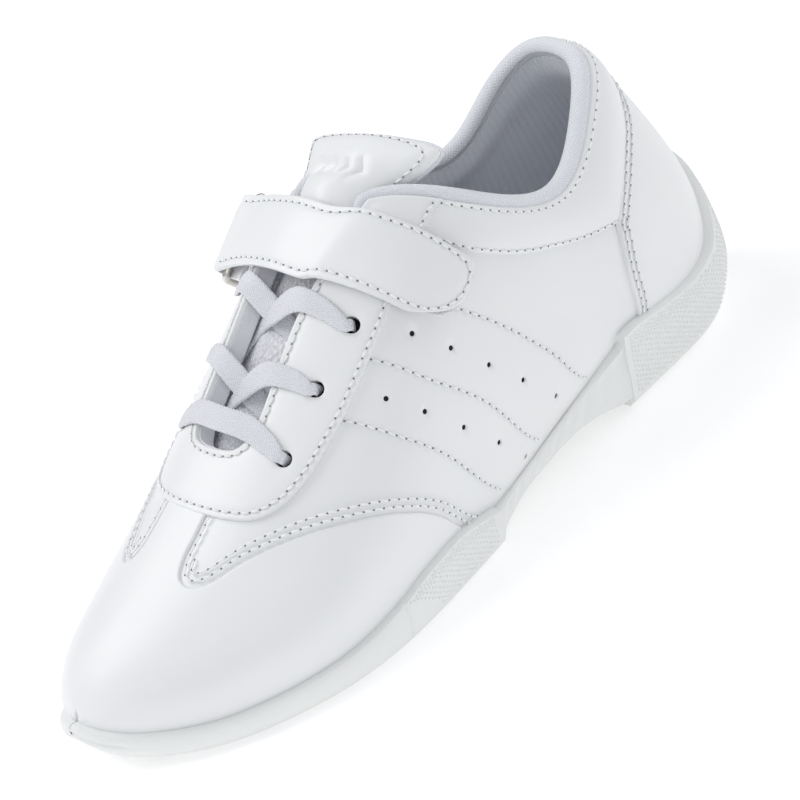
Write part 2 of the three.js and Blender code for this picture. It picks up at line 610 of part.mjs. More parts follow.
function gridNormal(grid, i, j) {
  const n = grid.length - 1;
  const m = grid[0].length - 1;
  const du = grid[Math.min(n, i + 1)][j].clone().sub(grid[Math.max(0, i - 1)][j]);
  const dv = grid[i][Math.min(m, j + 1)].clone().sub(grid[i][Math.max(0, j - 1)]);
  return du.cross(dv).normalize();
}

const offsetGrid = (grid, off) => grid.map((row, i) => row.map((q, j) => q.clone()
  .addScaledVector(gridNormal(grid, i, j), off)));

function slab(points, low, high) {
  const middle = gridNormal(points, points.length >> 1, points[0].length >> 1);
  const grid = middle.z < 0 ? points.map((row) => row.slice().reverse()) : points;
  const a = offsetGrid(grid, low);
  const b = offsetGrid(grid, high);
  return loft(a.map((row, i) => [...row, ...b[i].slice().reverse()]), false, [1, 2],
    row0(a[0].length));
}

// Triangles closing the end of a slab row by row.
function row0(m) {
  const tris = [];
  for (let j = 0; j < m - 1; j++) tris.push([j, j + 1, 2 * m - 2 - j], [j, 2 * m - 2 - j, 2 * m - 1 - j]);
  return tris;
}

// Points of a smooth curve through given points.
function through(points, count) {
  return new THREE.CatmullRomCurve3(points, false, 'centripetal').getPoints(count);
}

const smoothGrid = (rows, count) => {
  const columns = rows[0].map((_, j) => through(rows.map((row) => row[j]), count));
  return columns[0].map((_, i) => columns.map((c) => c[i]));
};

// ---------------------------------------------------------------- tongue
function tongueRow(left, middle, right, count) {
  return steps(-1, 1, count).map((q) => {
    const edge = q < 0 ? left : right;
    const s = Math.abs(q);
    return V(mix(middle.x, edge.x, s), mix(middle.y, edge.y, s), mix(middle.z, edge.z, Math.pow(s, 1.55)));
  });
}

const lowerTongue = [[7.75, 0.86], [7.3, 0.82], [6.8, 0.78], [6.3, 0.76], [5.85, 0.76], [5.5,
  0.77]].map(([p, t]) => {
  const middle = skin(p, 1, 1).add(skin(p, 1, -1)).multiplyScalar(0.5);
  middle.addScaledVector(skinNormal(p, 1, 1), TONGUE_OUT);
  return tongueRow(onSkin(p, t, -1, TONGUE_OUT), middle, onSkin(p, t, 1, TONGUE_OUT), 8);
});
const upperTongue = [
  [[-9, -16, 91], [-7.5, -1, 99.5], [-9, 17, 91]],
  [[-16, -11.5, 97.5], [-14, 0, 103.8], [-16, 12.5, 97.5]],
  [[-22, -11, 102.5], [-20, 0.5, 108], [-23, 13, 102.5]],
  [[-28, -15, 107], [-26, 1, 111.5], [-29.5, 17.5, 107]],
  [[-31, -21, 110.5], [-31, 1.5, 114], [-35, 26, 110.5]],
].map((row) => tongueRow(place(...row[0]), place(...row[1]), place(...row[2]), 8));
add('tongue_mesh', slab([...lowerTongue, upperTongue[0], upperTongue[1]], -TONGUE_MESH, 0), 'textile', 0.95);
const flapRows = upperTongue.slice(1);
flapRows[0] = flapRows[0].map((q, j) => q.clone().lerp(flapRows[1][j], 0.16));
const flap = smoothGrid(flapRows, 7);
const FOAM_TOP = TONGUE_COVER + PLY;
add('tongue_cover', slab(flap, -TONGUE_COVER, 0), 'leather', 0.35);
add('tongue_foam', slab(flap, -FOAM_TOP - TONGUE_FOAM, -FOAM_TOP), 'foam', 0.95);
add('tongue_lining', slab(flap, -FOAM_TOP - TONGUE_FOAM - PLY - LINING, -FOAM_TOP - TONGUE_FOAM - PLY),
  'textile', 0.95);

// ---------------------------------------------------------------- strap, ring and keeper
const BAR = V(19, -1, -14.5).normalize();
const RING_FROM_EYELET = V(-10.703, -8.1156, 9.9225);   // upper bar against the first inner eyelet
const RING_TOP = onSkin(...EYELETS[0], -1, STAY_TOP).add(RING_FROM_EYELET);
const RING_DOWN = V(-9.4, -3.2, -11.9).normalize();
const RING_FOOT = RING_TOP.clone().addScaledVector(RING_DOWN, RING_HEIGHT);
const INWARD = V(0.1, 0.88, 0.42).addScaledVector(BAR, -BAR.dot(V(0.1, 0.88, 0.42))).normalize();
const RISING = BAR.clone().cross(INWARD).normalize();
if (RISING.z < 0) RISING.negate();
const LOOP_IN = RING_WIRE / 2 + 0.5;

const across = (a, b, c, count) => steps(0, 1, count).map((s) => {
  const l = (1 - s) * (1 - 2 * s);
  const m = 4 * s * (1 - s);
  const r = s * (2 * s - 1);
  return V(0, 0, 0).addScaledVector(a, l).addScaledVector(b, m).addScaledVector(c, r);
});
const strapSkin = (p, t) => onSkin(p, t, 1, STRAP_BOTTOM);
const strapRows = [
  [strapSkin(4.54, 0.655), strapSkin(4.84, 0.59), strapSkin(5.17, 0.6)],
  [strapSkin(4.47, 0.705), strapSkin(4.9, 0.65), strapSkin(5.34, 0.635)],
  [strapSkin(4.6, 0.765), strapSkin(5.03, 0.72), strapSkin(5.49, 0.695)],
  [strapSkin(4.8, 0.83), strapSkin(5.2, 0.795), strapSkin(5.64, 0.765)],
  [strapSkin(5.03, 0.9), strapSkin(5.4, 0.875), strapSkin(5.8, 0.85)],
  [place(-7.5, 8, 107.3), place(2.4, 8, 101.7), place(11.8, 8, 95.6)],
  [place(-6.8, -4, 108), place(3, -4, 102.5), place(12.3, -4, 96.2)],
  [place(-7, -16, 106), place(2.6, -16, 100.4), place(11.6, -16, 94.2)],
  [[-8.9, 7, 9.4], [0.6, 7, 3.7], [9.7, 7, -2.8]].map((q) => RING_TOP.clone().add(V(...q))),
  [-1, 0, 1].map((k) => RING_TOP.clone().addScaledVector(BAR,
    k * STRAP_WIDTH / 2).addScaledVector(RISING, LOOP_IN)
    .addScaledVector(INWARD, 0.3)),
].map((row) => across(...row, 6));
const strapGrid = smoothGrid(strapRows, 27);
const SHOULDER = 9;
const topOff = STRAP_LINING + GAP + STRAP_LEATHER;
const mainGrid = strapGrid.slice(SHOULDER);
const tipGrid = strapGrid.slice(0, SHOULDER + 1);
tipGrid[SHOULDER] = tipGrid[SHOULDER].map((q, j) => q.clone().lerp(tipGrid[SHOULDER - 1][j], 0.12));
add('strap', slab(mainGrid, STRAP_LINING + GAP, topOff), 'leather', 0.35);
add('strap_lining', slab(mainGrid, 0, STRAP_LINING), 'textile', 0.95);
add('strap_tip', slab(tipGrid, 0.35, topOff), 'leather', 0.35);
add('hook_patch', slab(tipGrid.slice(1, SHOULDER - 1).map((row) => row.slice(1, -1)), 0.05 - PATCH, 0.05),
  'textile', 0.95);
const loopRows = [
  [[4.47, 0.64], [4.8, 0.565], [5.15, 0.585]],
  [[4.42, 0.7], [4.86, 0.65], [5.3, 0.625]],
].map(([a, b, c]) => steps(0, 1, 6).map((s) => [
  (1 - s) * (1 - 2 * s) * a[0] + 4 * s * (1 - s) * b[0] + s * (2 * s - 1) * c[0],
  (1 - s) * (1 - 2 * s) * a[1] + 4 * s * (1 - s) * b[1] + s * (2 * s - 1) * c[1], 1]));
add('loop_patch', sheet(steps(0, 1, 3).map((s) => loopRows[0].map((g, j) => [mix(g[0], loopRows[1][j][0], s),
  mix(g[1], loopRows[1][j][1], s), 1])), GAP, GAP + PATCH), 'textile', 0.95);

// Band round a bar: profile drawn in (x, z) about the bar and run along it.
function band(centre, x, z, path, thick, half) {
  const n = path.length;
  const side = (k) => path.map(([a, b], i) => {
    const [c, d] = path[Math.max(0, i - 1)];
    const [e, f] = path[Math.min(n - 1, i + 1)];
    const len = Math.hypot(e - c, f - d);
    return [a - k * (f - d) / len, b + k * (e - c) / len];
  });
  const ring = [...side(thick / 2), ...side(-thick / 2).reverse()];
  return loft([-half, half].map((h) => ring.map(([a, b]) => centre.clone().addScaledVector(x, a)
    .addScaledVector(z, b).addScaledVector(BAR, h))), false, [0, 2], row0(n));
}
const LOOP_THICK = 1.6;
const turn = (r, from, to, n) => steps(from, to, n).map((d) => {
  const a = d * Math.PI / 180;
  return [r * Math.cos(a), r * Math.sin(a)];
});
const loopMid = LOOP_IN + LOOP_THICK / 2;
add('strap_loop', band(RING_TOP, INWARD, RISING, [...turn(loopMid, 92, 270, 8), [3, -1.9],
  [6, -1.8], [8.5, -1.9]], LOOP_THICK, STRAP_WIDTH / 2), 'leather', 0.35);

const ringPath = [];
const corner = 2.5;
const ringHalf = STRAP_WIDTH / 2 + 2;
for (const [cx, cy, from] of [[ringHalf - corner, corner, -90], [ringHalf - corner, RING_HEIGHT - corner, 0],
  [-ringHalf + corner, RING_HEIGHT - corner, 90], [-ringHalf + corner, corner, 180]]) {
  for (const a of steps(from, from + 90, 4)) {
    const r = a * Math.PI / 180;
    ringPath.push([cx + corner * Math.cos(r), cy + corner * Math.sin(r), r]);
  }
}
const RING_AXIS = BAR.clone().cross(RING_DOWN).normalize();
add('ring', loft(ringPath.map(([x, y, r]) => {
  const c = RING_TOP.clone().addScaledVector(BAR, x).addScaledVector(RING_DOWN, y);
  const out = BAR.clone().multiplyScalar(Math.cos(r)).addScaledVector(RING_DOWN, Math.sin(r));
  return steps(0, 2 * Math.PI, 8).slice(0, -1).map((a) => c.clone()
    .addScaledVector(out, Math.cos(a) * RING_WIRE / 2).addScaledVector(RING_AXIS,
      Math.sin(a) * RING_WIRE / 2));
}), true), 'steel', 0.25);

// Web keeper: round the lower bar of the ring, then down the inner side of the upper.
const KEEPER_HALF = 9;
const KEEPER_THICK = 1.2;
const keeperEnd = [[4.75, 0.555], [4.58, 0.5], [4.42, 0.44]].map(([p, t]) => onSkin(p, t, -1,
  KEEPER_THICK / 2 + 1));
const keeperOut = RING_AXIS.y < 0 ? RING_AXIS : RING_AXIS.clone().negate();
const KEEPER_TURN = RING_WIRE / 2 + 0.5 + KEEPER_THICK / 2;
const keeperTurn = turn(KEEPER_TURN, 180, -55, 9).map(([a, b]) => RING_FOOT.clone()
  .addScaledVector(RING_DOWN, -b).addScaledVector(keeperOut, a));
const keeperPath = through([...keeperEnd.slice().reverse(), RING_FOOT.clone().addScaledVector(RING_DOWN, 6)
  .addScaledVector(keeperOut, -KEEPER_TURN)], 7);
add('ring_keeper', ribbon([...keeperPath, ...keeperTurn], () => BAR, () => KEEPER_HALF, KEEPER_THICK),
  'textile', 0.95);

// Flat band along a path: width direction and half width given point by point.
function ribbon(path, widthAt, halfAt, thick) {
  const n = path.length;
  return loft(path.map((q, i) => {
    const along = path[Math.min(n - 1, i + 1)].clone().sub(path[Math.max(0, i - 1)]).normalize();
    const w = widthAt(i).clone();
    w.addScaledVector(along, -w.dot(along)).normalize();
    const h = along.clone().cross(w);
    const at = (a, b) => q.clone().addScaledVector(w, a * halfAt(i)).addScaledVector(h, b * thick / 2);
    return [at(-1, -1), at(1, -1), at(1, 1), at(-1, 1)];
  }), false, [0, 1], [[0, 1, 2], [0, 2, 3]]);
}

// ---------------------------------------------------------------- lace
// Legs between the eyelets: [row, side] from the hole left to the hole entered.
const LACE_TOP = STAY_TOP + GAP + LACE_THICK / 2;
const LACE_LOW = LINING_IN - 0.6 - LACE_THICK / 2;
const NARROW = 1.7;
const WIDE = LACE_WIDTH / 2;
const BEND = 1.6;
const knots = [];

function hole(row, side) {
  const [p, t] = EYELETS[row];
  return { p, t, side, q: side * (1 - t), base: skin(p, t, side), normal: skinNormal(p, t, side) };
}

// Bend of the lace next to a hole, listed from the hole outwards.
function nearHole(h, target, under, sign) {
  const dir = target.clone().sub(h.base);
  dir.addScaledVector(h.normal, -dir.dot(h.normal)).normalize();
  const off = under ? LACE_LOW : LACE_TOP;
  const inward = under ? 1 : -1;
  const width = dir.clone().cross(h.normal).multiplyScalar(sign);
  const at = (x, z, half) => ({
    point: h.base.clone().addScaledVector(dir, x).addScaledVector(h.normal, off + z * inward),
    width,
    half,
  });
  return [at(0.05, BEND + 0.5, NARROW), at(BEND * 0.3, BEND * 0.35, NARROW), at(BEND, 0, NARROW + 0.2)];
}

// One leg of the lace between two holes.
function leg(a, b, aUnder, bUnder, bump, sign) {
  knots.push(...nearHole(a, b.base, aUnder, sign));
  const d = b.base.clone().sub(a.base).normalize();
  const stop = (q, under, lift, half) => {
    const s = (q - a.q) / (b.q - a.q);
    const p = mix(a.p, b.p, s);
    const side = q < 0 ? -1 : 1;
    const t = 1 - Math.abs(q);
    const n = skinNormal(p, t, side);
    const point = onSkin(p, t, side, (under ? LACE_LOW : LACE_TOP) + lift);
    knots.push({ point, width: d.clone().cross(n).multiplyScalar(sign), half });
  };
  const edge = 1 - THROAT_T;
  stop(a.side * (edge + 0.065), aUnder, 0, aUnder ? NARROW + 0.5 : WIDE - 0.6);
  stop(a.side * (edge - 0.01), aUnder, 0, aUnder ? WIDE - 1 : WIDE);
  const start = knots[knots.length - 1].point.clone();
  const crest = knots.length;
  knots.push(null);
  stop(b.side * (edge - 0.01), bUnder, 0, bUnder ? WIDE - 1 : WIDE);
  const finish = knots[knots.length - 1].point;
  const n = skinNormal(mix(a.p, b.p, 0.5), 1, 1);
  knots[crest] = {
    point: start.add(finish).multiplyScalar(0.5).addScaledVector(n, bump),
    width: d.clone().cross(n).multiplyScalar(sign),
    half: WIDE,
  };
  stop(b.side * (edge + 0.065), bUnder, 0, bUnder ? NARROW + 0.5 : WIDE - 0.6);
  knots.push(...nearHole(b, a.base, bUnder, -sign).reverse());
}

// Hidden end of the lace lying under the stay.
function laceEnd(h, target, sign) {
  const list = nearHole(h, target, true, sign);
  const dir = target.clone().sub(h.base).normalize();
  list[2].point.addScaledVector(h.normal, -0.55);
  const q = h.side * (1 - THROAT_T + 0.06);
  const far = onSkin(h.p - 0.04, 1 - Math.abs(q), h.side, LACE_LOW - 0.7);
  list.push({ point: far, width: dir.cross(h.normal).multiplyScalar(sign), half: NARROW });
  return list;
}

const [L1, L2, L3] = [0, 1, 2].map((k) => hole(k, 1));
const [M1, M2, M3] = [0, 1, 2].map((k) => hole(k, -1));
knots.push(...laceEnd(L1, M2.base, 1).reverse());
leg(L1, M2, false, true, 1.4, 1);
leg(M2, L3, false, true, -0.4, -1);
leg(L3, M3, false, false, 2, 1);
leg(M3, L2, true, false, 1.4, -1);
leg(L2, M1, true, false, -0.4, 1);
knots.push(...laceEnd(M1, L2.base, -1));

const laceCurve = new THREE.CatmullRomCurve3(knots.map((k) => k.point), false, 'centripetal');
const lacePath = [];
for (let i = 0; i < knots.length - 1; i++) {
  const parts = Math.max(1, Math.round(knots[i].point.distanceTo(knots[i + 1].point) / 3));
  for (let k = 0; k < parts + (i === knots.length - 2 ? 1 : 0); k++) {
    const s = k / parts;
    lacePath.push({
      point: laceCurve.getPoint((i + s) / (knots.length - 1)),
      width: knots[i].width.clone().lerp(knots[i + 1].width, s),
      half: mix(knots[i].half, knots[i + 1].half, s),
    });
  }
}
add('lace', ribbon(lacePath.map((k) => k.point), (i) => lacePath[i].width, (i) => lacePath[i].half,
  LACE_THICK),
  'lace', 0.9);

group.rotation.z = -Math.PI / 2;
group.updateMatrixWorld(true);
const box = new THREE.Box3().setFromObject(group);
group.position.set(-(box.min.x + box.max.x) / 2, -(box.min.y + box.max.y) / 2, -box.min.z);

export default group;
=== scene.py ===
import json
import math

import bpy
import numpy as np
from mathutils import Matrix, Vector, geometry


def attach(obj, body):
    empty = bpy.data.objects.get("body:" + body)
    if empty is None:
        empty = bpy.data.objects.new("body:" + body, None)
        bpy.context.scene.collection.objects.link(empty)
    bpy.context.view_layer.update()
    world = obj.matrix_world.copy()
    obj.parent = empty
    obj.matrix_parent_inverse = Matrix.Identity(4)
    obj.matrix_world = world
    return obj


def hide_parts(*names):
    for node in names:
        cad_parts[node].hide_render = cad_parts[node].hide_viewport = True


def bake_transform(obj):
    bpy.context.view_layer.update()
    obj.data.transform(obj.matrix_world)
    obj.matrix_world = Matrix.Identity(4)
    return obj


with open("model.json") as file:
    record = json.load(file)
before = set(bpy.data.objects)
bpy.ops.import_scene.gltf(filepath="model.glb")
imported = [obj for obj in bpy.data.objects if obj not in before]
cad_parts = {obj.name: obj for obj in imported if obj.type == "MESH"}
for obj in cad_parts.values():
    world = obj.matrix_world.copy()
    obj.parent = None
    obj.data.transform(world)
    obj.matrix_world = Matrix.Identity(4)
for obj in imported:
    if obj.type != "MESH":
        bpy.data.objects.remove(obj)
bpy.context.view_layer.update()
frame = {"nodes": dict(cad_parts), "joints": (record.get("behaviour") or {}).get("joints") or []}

# One left cheerleading shoe. The form is worked out in millimetres as
# (along towards the toe, side towards the outer ankle, up) and placed in
# the frame, in metres, by to_frame().

MM = 0.001
UV_UNIT = 100            # millimetres of surface to one unit of its texture
LEATHER = 1.4
ROLL = 0.5              # rounded cut edge of a leather panel
STITCH = 3.1            # needle hole to needle hole
THREAD = 0.36           # thread radius
GUIDE = 1.9             # first stitch row from a panel's edge
TWIN = 2.0              # second row from the first
EYELET_DIAMETER = 5.0
PERFORATION = 0.8       # radius of the vent holes
WALL = 3.4              # rubber side wall
BRIDGE_WALL = 1.5       # the same along the arch
RUBBER_FLOOR = 3.2
GAP = 0.3               # clearance between the upper and the rubber
LINING_OUT = -4.0       # faces of the lining, off the outer face of the upper
LINING_IN = -5.0
STAY_LOW = 0.3          # faces of the eyestay, off the same
STAY_TOP = 1.7
STRAP_WIDTH = 24.0
RING_WIRE = 2.4
RING_HEIGHT = 12.0
LACE_WIDTH = 7.4
LACE_THICK = 1.2
rng = np.random.default_rng(7)


# ---------------------------------------------------------------- form of the shoe
# Heel to toe. Each station: foot line, widest line and top line as
# (along, half width, up), rise, fullness, side shift of the middle and crest.
STATIONS = (
    ((-123, 0, 12), (-127, 0, 35), (-107, 0, 99.5), 0.8, 0.25, 0, 0),
    ((-117, 16.5, 12), (-120.5, 18, 36), (-103.5, 13, 97.5), 0.8, 0.3, 0, 0),
    ((-100, 26.5, 14), (-101, 29.5, 37), (-90, 22, 88), 0.8, 0.4, 0, 0),
    ((-69, 28.5, 18), (-69, 33.5, 38), (-68, 27, 78), 0.8, 0.45, 1.5, 1.5),
    ((-36, 29.5, 15), (-37, 35.5, 38), (-40, 27, 94), 0.7, 0.5, 3, 2),
    ((-6, 33.5, 10), (-8, 37.5, 34), (-15, 12, 108), 0.25, 0.5, 3, 0),
    ((20, 39, 11), (18, 40.5, 30), (12, 0, 93.5), 0, 0.5, 2, -4.5),
    ((46, 42, 9), (46, 42.5, 24), (42, 0, 71.5), 0, 0.47, 1.5, -3.5),
    ((72, 39.5, 7), (72, 40, 20), (70, 0, 54), 0, 0.48, 0.5, -2),
    ((97, 30.5, 7), (97, 31, 18), (97, 0, 40), 0, 0.52, -2, -3),
    ((116, 18, 9), (116.5, 18.5, 17.5), (116.5, 0, 30), 0, 0.55, -5, -5),
    ((127.5, 0, 16), (127.5, 0, 16), (127.5, 0, 16), 0, 0.55, -7, -7),
)
LAST = len(STATIONS) - 1
BULGE_AT = 0.28


def spline(values, level_start, level_end):
    """Smooth curve through values at 0, 1, 2 ... with free or level ends."""
    y = np.array(values, float)
    n = len(y)
    m = np.zeros((n, n))
    r = np.zeros(n)
    for i in range(1, n - 1):
        m[i, i - 1 : i + 2] = (1, 4, 1)
        r[i] = 3 * (y[i + 1] - y[i - 1])
    m[0, :2] = (1, 0) if level_start else (2, 1)
    r[0] = 0 if level_start else 3 * (y[1] - y[0])
    m[-1, -2:] = (0, 1) if level_end else (1, 2)
    r[-1] = 0 if level_end else 3 * (y[-1] - y[-2])
    slope = np.linalg.solve(m, r)

    def at(x):
        x = np.asarray(x, float)
        k = np.clip(x.astype(int), 0, n - 2)
        s = x - k
        a, b = y[k], y[k + 1]
        bend = 3 * (b - a) - 2 * slope[k] - slope[k + 1]
        return a + s * slope[k] + s**2 * bend + s**3 * (2 * (a - b) + slope[k] + slope[k + 1])

    return at


LINES = [[spline([s[k][c] for s in STATIONS], c != 1, c == 0) for c in range(3)] for k in range(3)]
RISE = spline([s[3] for s in STATIONS], True, False)
FULL = spline([s[4] for s in STATIONS], True, False)
MID = spline([s[5] for s in STATIONS], True, True)
CREST = spline([s[6] for s in STATIONS], True, True)
FOOT_UP = LINES[0][2]


def bezier(a, b, c, d, s):
    """A cubic curve from a to d with handles b and c."""
    s = s[..., None]
    r = 1 - s
    return a * r**3 + 3 * b * r * r * s + 3 * c * r * s * s + d * s**3


def skin(p, t, side):
    """Outer face of the upper: p runs heel to toe, t from foot line to top."""
    p, t, side = (np.asarray(x, float) for x in np.broadcast_arrays(p, t, side))
    foot, bulge, top = (
        np.stack([line[0](p), side * line[1](p) + shift(p), line[2](p)], -1)
        for line, shift in zip(LINES, (MID, MID, CREST))
    )
    full = FULL(p)[..., None]
    lower = bulge.copy()
    lower[..., 2] += 0.6 * (foot[..., 2] - bulge[..., 2])
    under = bezier(foot, foot + 0.25 * (bulge - foot), lower, bulge, np.clip(t / BULGE_AT, 0, 1))
    reach_up = full * (top - bulge)
    start = bulge.copy()
    start[..., 2] += reach_up[..., 2]
    reach_up[..., 2] *= RISE(p)
    s = np.clip((t - BULGE_AT) / (1 - BULGE_AT), 0, 1)
    above = bezier(bulge, start, top - reach_up, top, s)
    return np.where((t < BULGE_AT)[..., None], under, above)


def unit(v):
    """Vectors of length one."""
    return v / np.maximum(np.linalg.norm(v, axis=-1, keepdims=True), 1e-9)


def skin_normal(p, t, side):
    """Outward direction of the upper."""
    p, t, side = (np.asarray(x, float) for x in np.broadcast_arrays(p, t, side))
    e = 0.004
    q = np.clip(p, e, LAST - 0.02)
    dp = skin(q + e, t, side) - skin(q - e, t, side)
    heel = (p < e)[..., None]
    dp = np.where(heel, np.stack([0 * side, side, 0 * side], -1), dp)
    dt = skin(q, np.minimum(t + e, 1), side) - skin(q, np.maximum(t - e, 0), side)
    n = unit(np.cross(dt, dp) * side[..., None])
    return np.where((p > LAST - 1e-3)[..., None], np.array([1.0, 0, 0]), n)


def on_skin(p, t, side, off):
    """A place off millimetres outside the upper."""
    return skin(p, t, side) + skin_normal(p, t, side) * np.asarray(off, float)[..., None]


def place(*xyz):
    """A free point as (along, side, up)."""
    return np.array(xyz, float)


# The frame's origin against the form's own zero, from the hinge of the strap.
RING_TOP = place(1.3, -33, 93.6)
HINGE = next(j for j in frame["joints"] if j["name"] == "strap_lift")["pos_m"]
SHIFT = np.array([HINGE[0] / MM - RING_TOP[1], HINGE[1] / MM + RING_TOP[0]])


def to_frame(v):
    """From the form's millimetres to the frame's metres."""
    v = np.asarray(v, float)
    return np.stack([v[..., 1] + SHIFT[0], SHIFT[1] - v[..., 0], v[..., 2]], -1) * MM


# ---------------------------------------------------------------- charts
class Over:
    """The upper unrolled over the crest: (p, v), v from +1 outside to -1 inside."""

    scale = np.array([25.0, 95.0])

    def at(self, c):
        return skin(c[..., 0], 1 - np.abs(c[..., 1]), np.where(c[..., 1] < 0, -1, 1))

    def normal(self, c):
        return skin_normal(c[..., 0], 1 - np.abs(c[..., 1]), np.where(c[..., 1] < 0, -1, 1))


class Around:
    """The upper unrolled round the heel: (r, t), r from minus inside to plus outside."""

    scale = np.array([25.0, 95.0])

    def at(self, c):
        return skin(np.abs(c[..., 0]), c[..., 1], np.where(c[..., 0] < 0, -1, 1))

    def normal(self, c):
        return skin_normal(np.abs(c[..., 0]), c[..., 1], np.where(c[..., 0] < 0, -1, 1))


class Patch:
    """A free surface through a grid of points, with (row, column) from 0 to 1."""

    def __init__(self, grid, flip=1):
        self.grid = np.asarray(grid, float)
        self.flip = flip
        g = self.grid
        length = np.linalg.norm(np.diff(g[:, g.shape[1] // 2], axis=0), axis=-1).sum()
        width = np.linalg.norm(np.diff(g[len(g) // 2], axis=0), axis=-1).sum()
        self.scale = np.array([length, width])

    def at(self, c):
        n, m = self.grid.shape[:2]
        i = np.clip(c[..., 0] * (n - 1), -0.5, n - 0.5)
        j = np.clip(c[..., 1] * (m - 1), -0.5, m - 0.5)
        a = np.clip(i.astype(int), 0, n - 2)
        b = np.clip(j.astype(int), 0, m - 2)
        s, t = (i - a)[..., None], (j - b)[..., None]
        g = self.grid
        low = g[a, b] * (1 - t) + g[a, b + 1] * t
        high = g[a + 1, b] * (1 - t) + g[a + 1, b + 1] * t
        return low * (1 - s) + high * s

    def normal(self, c):
        e = 1.5 / np.array(self.grid.shape[:2], float)
        d = c.copy()
        d[..., 0] = np.clip(c[..., 0], e[0], 1 - e[0])
        d[..., 1] = np.clip(c[..., 1], e[1], 1 - e[1])
        du = self.at(d + [e[0], 0]) - self.at(d - [e[0], 0])
        dv = self.at(d + [0, e[1]]) - self.at(d - [0, e[1]])
        return unit(np.cross(du, dv)) * self.flip


OVER, AROUND = Over(), Around()


def through(points, per=8):
    """Points of a smooth curve that passes through the given ones."""
    p = np.array(points, float)
    if len(p) == 2:
        return p[0] + (p[1] - p[0]) * np.linspace(0, 1, per + 1)[:, None]
    q = np.vstack([2 * p[0] - p[1], p, 2 * p[-1] - p[-2]])
    out = []
    for a, b, c, d in zip(q[:-3], q[1:-2], q[2:-1], q[3:]):
        steps = [max(1e-6, np.linalg.norm(y - x)) ** 0.5 for x, y in ((a, b), (b, c), (c, d))]
        k = np.cumsum([0] + steps)
        s = np.linspace(k[1], k[2], per, endpoint=False)[:, None]

        def blend(x, y, i, j):
            return (k[j] - s) / (k[j] - k[i]) * x + (s - k[i]) / (k[j] - k[i]) * y

        ab, bc, cd = blend(a, b, 0, 1), blend(b, c, 1, 2), blend(c, d, 2, 3)
        abc, bcd = blend(ab, bc, 0, 2), blend(bc, cd, 1, 3)
        out.append(blend(abc, bcd, 1, 2))
    return np.vstack([*out, p[-1:]])


def curve_on(chart, points):
    """A smooth chart line through the given chart points."""
    return through(np.array(points, float) * chart.scale) / chart.scale


def lengths(line):
    """Length along a line at each of its points, from 0."""
    return np.concatenate([[0], np.cumsum(np.linalg.norm(np.diff(line, axis=0), axis=1))])


def respace(chart, line, step):
    """The same chart line with points a step apart along the surface."""
    s = lengths(chart.at(line))
    n = max(1, round(s[-1] / step))
    at = np.linspace(0, s[-1], n + 1)
    return np.stack([np.interp(at, s, line[:, k]) for k in range(2)], -1)


def inward(chart, loop, ring=True):
    """Chart step that moves 1 mm to the left of each point of a line."""
    nxt, prev = np.roll(loop, -1, 0), np.roll(loop, 1, 0)
    if not ring:
        nxt[-1], prev[0] = loop[-1], loop[0]
    way = nxt - prev
    e = 1e-3
    du = (chart.at(loop + [e, 0]) - chart.at(loop - [e, 0])) / (2 * e)
    dv = (chart.at(loop + [0, e]) - chart.at(loop - [0, e])) / (2 * e)
    tangent = unit(du * way[:, :1] + dv * way[:, 1:])
    left = unit(np.cross(np.cross(du, dv), tangent))
    uu, uv, vv = (du * du).sum(1), (du * dv).sum(1), (dv * dv).sum(1)
    det = np.maximum(uu * vv - uv * uv, 1e-6)
    lu, lv = (left * du).sum(1), (left * dv).sum(1)
    step = np.stack([(vv * lu - uv * lv) / det, (uu * lv - uv * lu) / det], -1)
    turn = way[:, 0] * step[:, 1] - way[:, 1] * step[:, 0]
    return step * np.sign(turn)[:, None]


def beside(chart, line, d):
    """A chart line moved d mm to its left over the surface."""
    return line + inward(chart, line, ring=False) * d


def distance(points, line):
    """Shortest distance from each point to a polyline."""
    best = np.full(len(points), 1e9)
    for a, b in zip(line[:-1], line[1:]):
        ab = b - a
        s = np.clip(((points - a) @ ab) / max(1e-9, ab @ ab), 0, 1)
        best = np.minimum(best, np.linalg.norm(points - a - s[:, None] * ab, axis=1))
    return best


def inside(points, loop):
    """Which points a closed loop goes round."""
    x, y = points[:, 0], points[:, 1]
    hit = np.zeros(len(points), bool)
    for (ax, ay), (bx, by) in zip(loop, np.roll(loop, -1, 0)):
        crosses = (ay > y) != (by > y)
        with np.errstate(divide="ignore", invalid="ignore"):
            hit ^= crosses & (x < (bx - ax) * (y - ay) / (by - ay) + ax)
    return hit


# ---------------------------------------------------------------- meshes
def mesh_piece(name, body, points, faces, material, uv=None, extra=(), marks=None, sharp=50):
    """A piece from points in millimetres. uv holds one pair per point."""
    mesh = bpy.data.meshes.new(name)
    mesh.from_pydata([tuple(v) for v in to_frame(points)], [], [tuple(int(i) for i in f) for f in faces])
    mesh.validate()
    obj = bpy.data.objects.new(name, mesh)
    bpy.context.scene.collection.objects.link(obj)
    for m in (material, *extra):
        mesh.materials.append(m)
    if marks is not None:
        mesh.polygons.foreach_set("material_index", np.asarray(marks, np.int32))
    if uv is not None:
        layer = mesh.uv_layers.new(name="UVMap")
        index = np.zeros(len(mesh.loops), np.int32)
        mesh.loops.foreach_get("vertex_index", index)
        layer.data.foreach_set("uv", np.asarray(uv, np.float32)[index].ravel())
    mesh.polygons.foreach_set("use_smooth", np.ones(len(mesh.polygons), bool))
    mesh.set_sharp_from_angle(angle=math.radians(sharp))
    mesh.update()
    if body:
        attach(obj, body)
    return obj


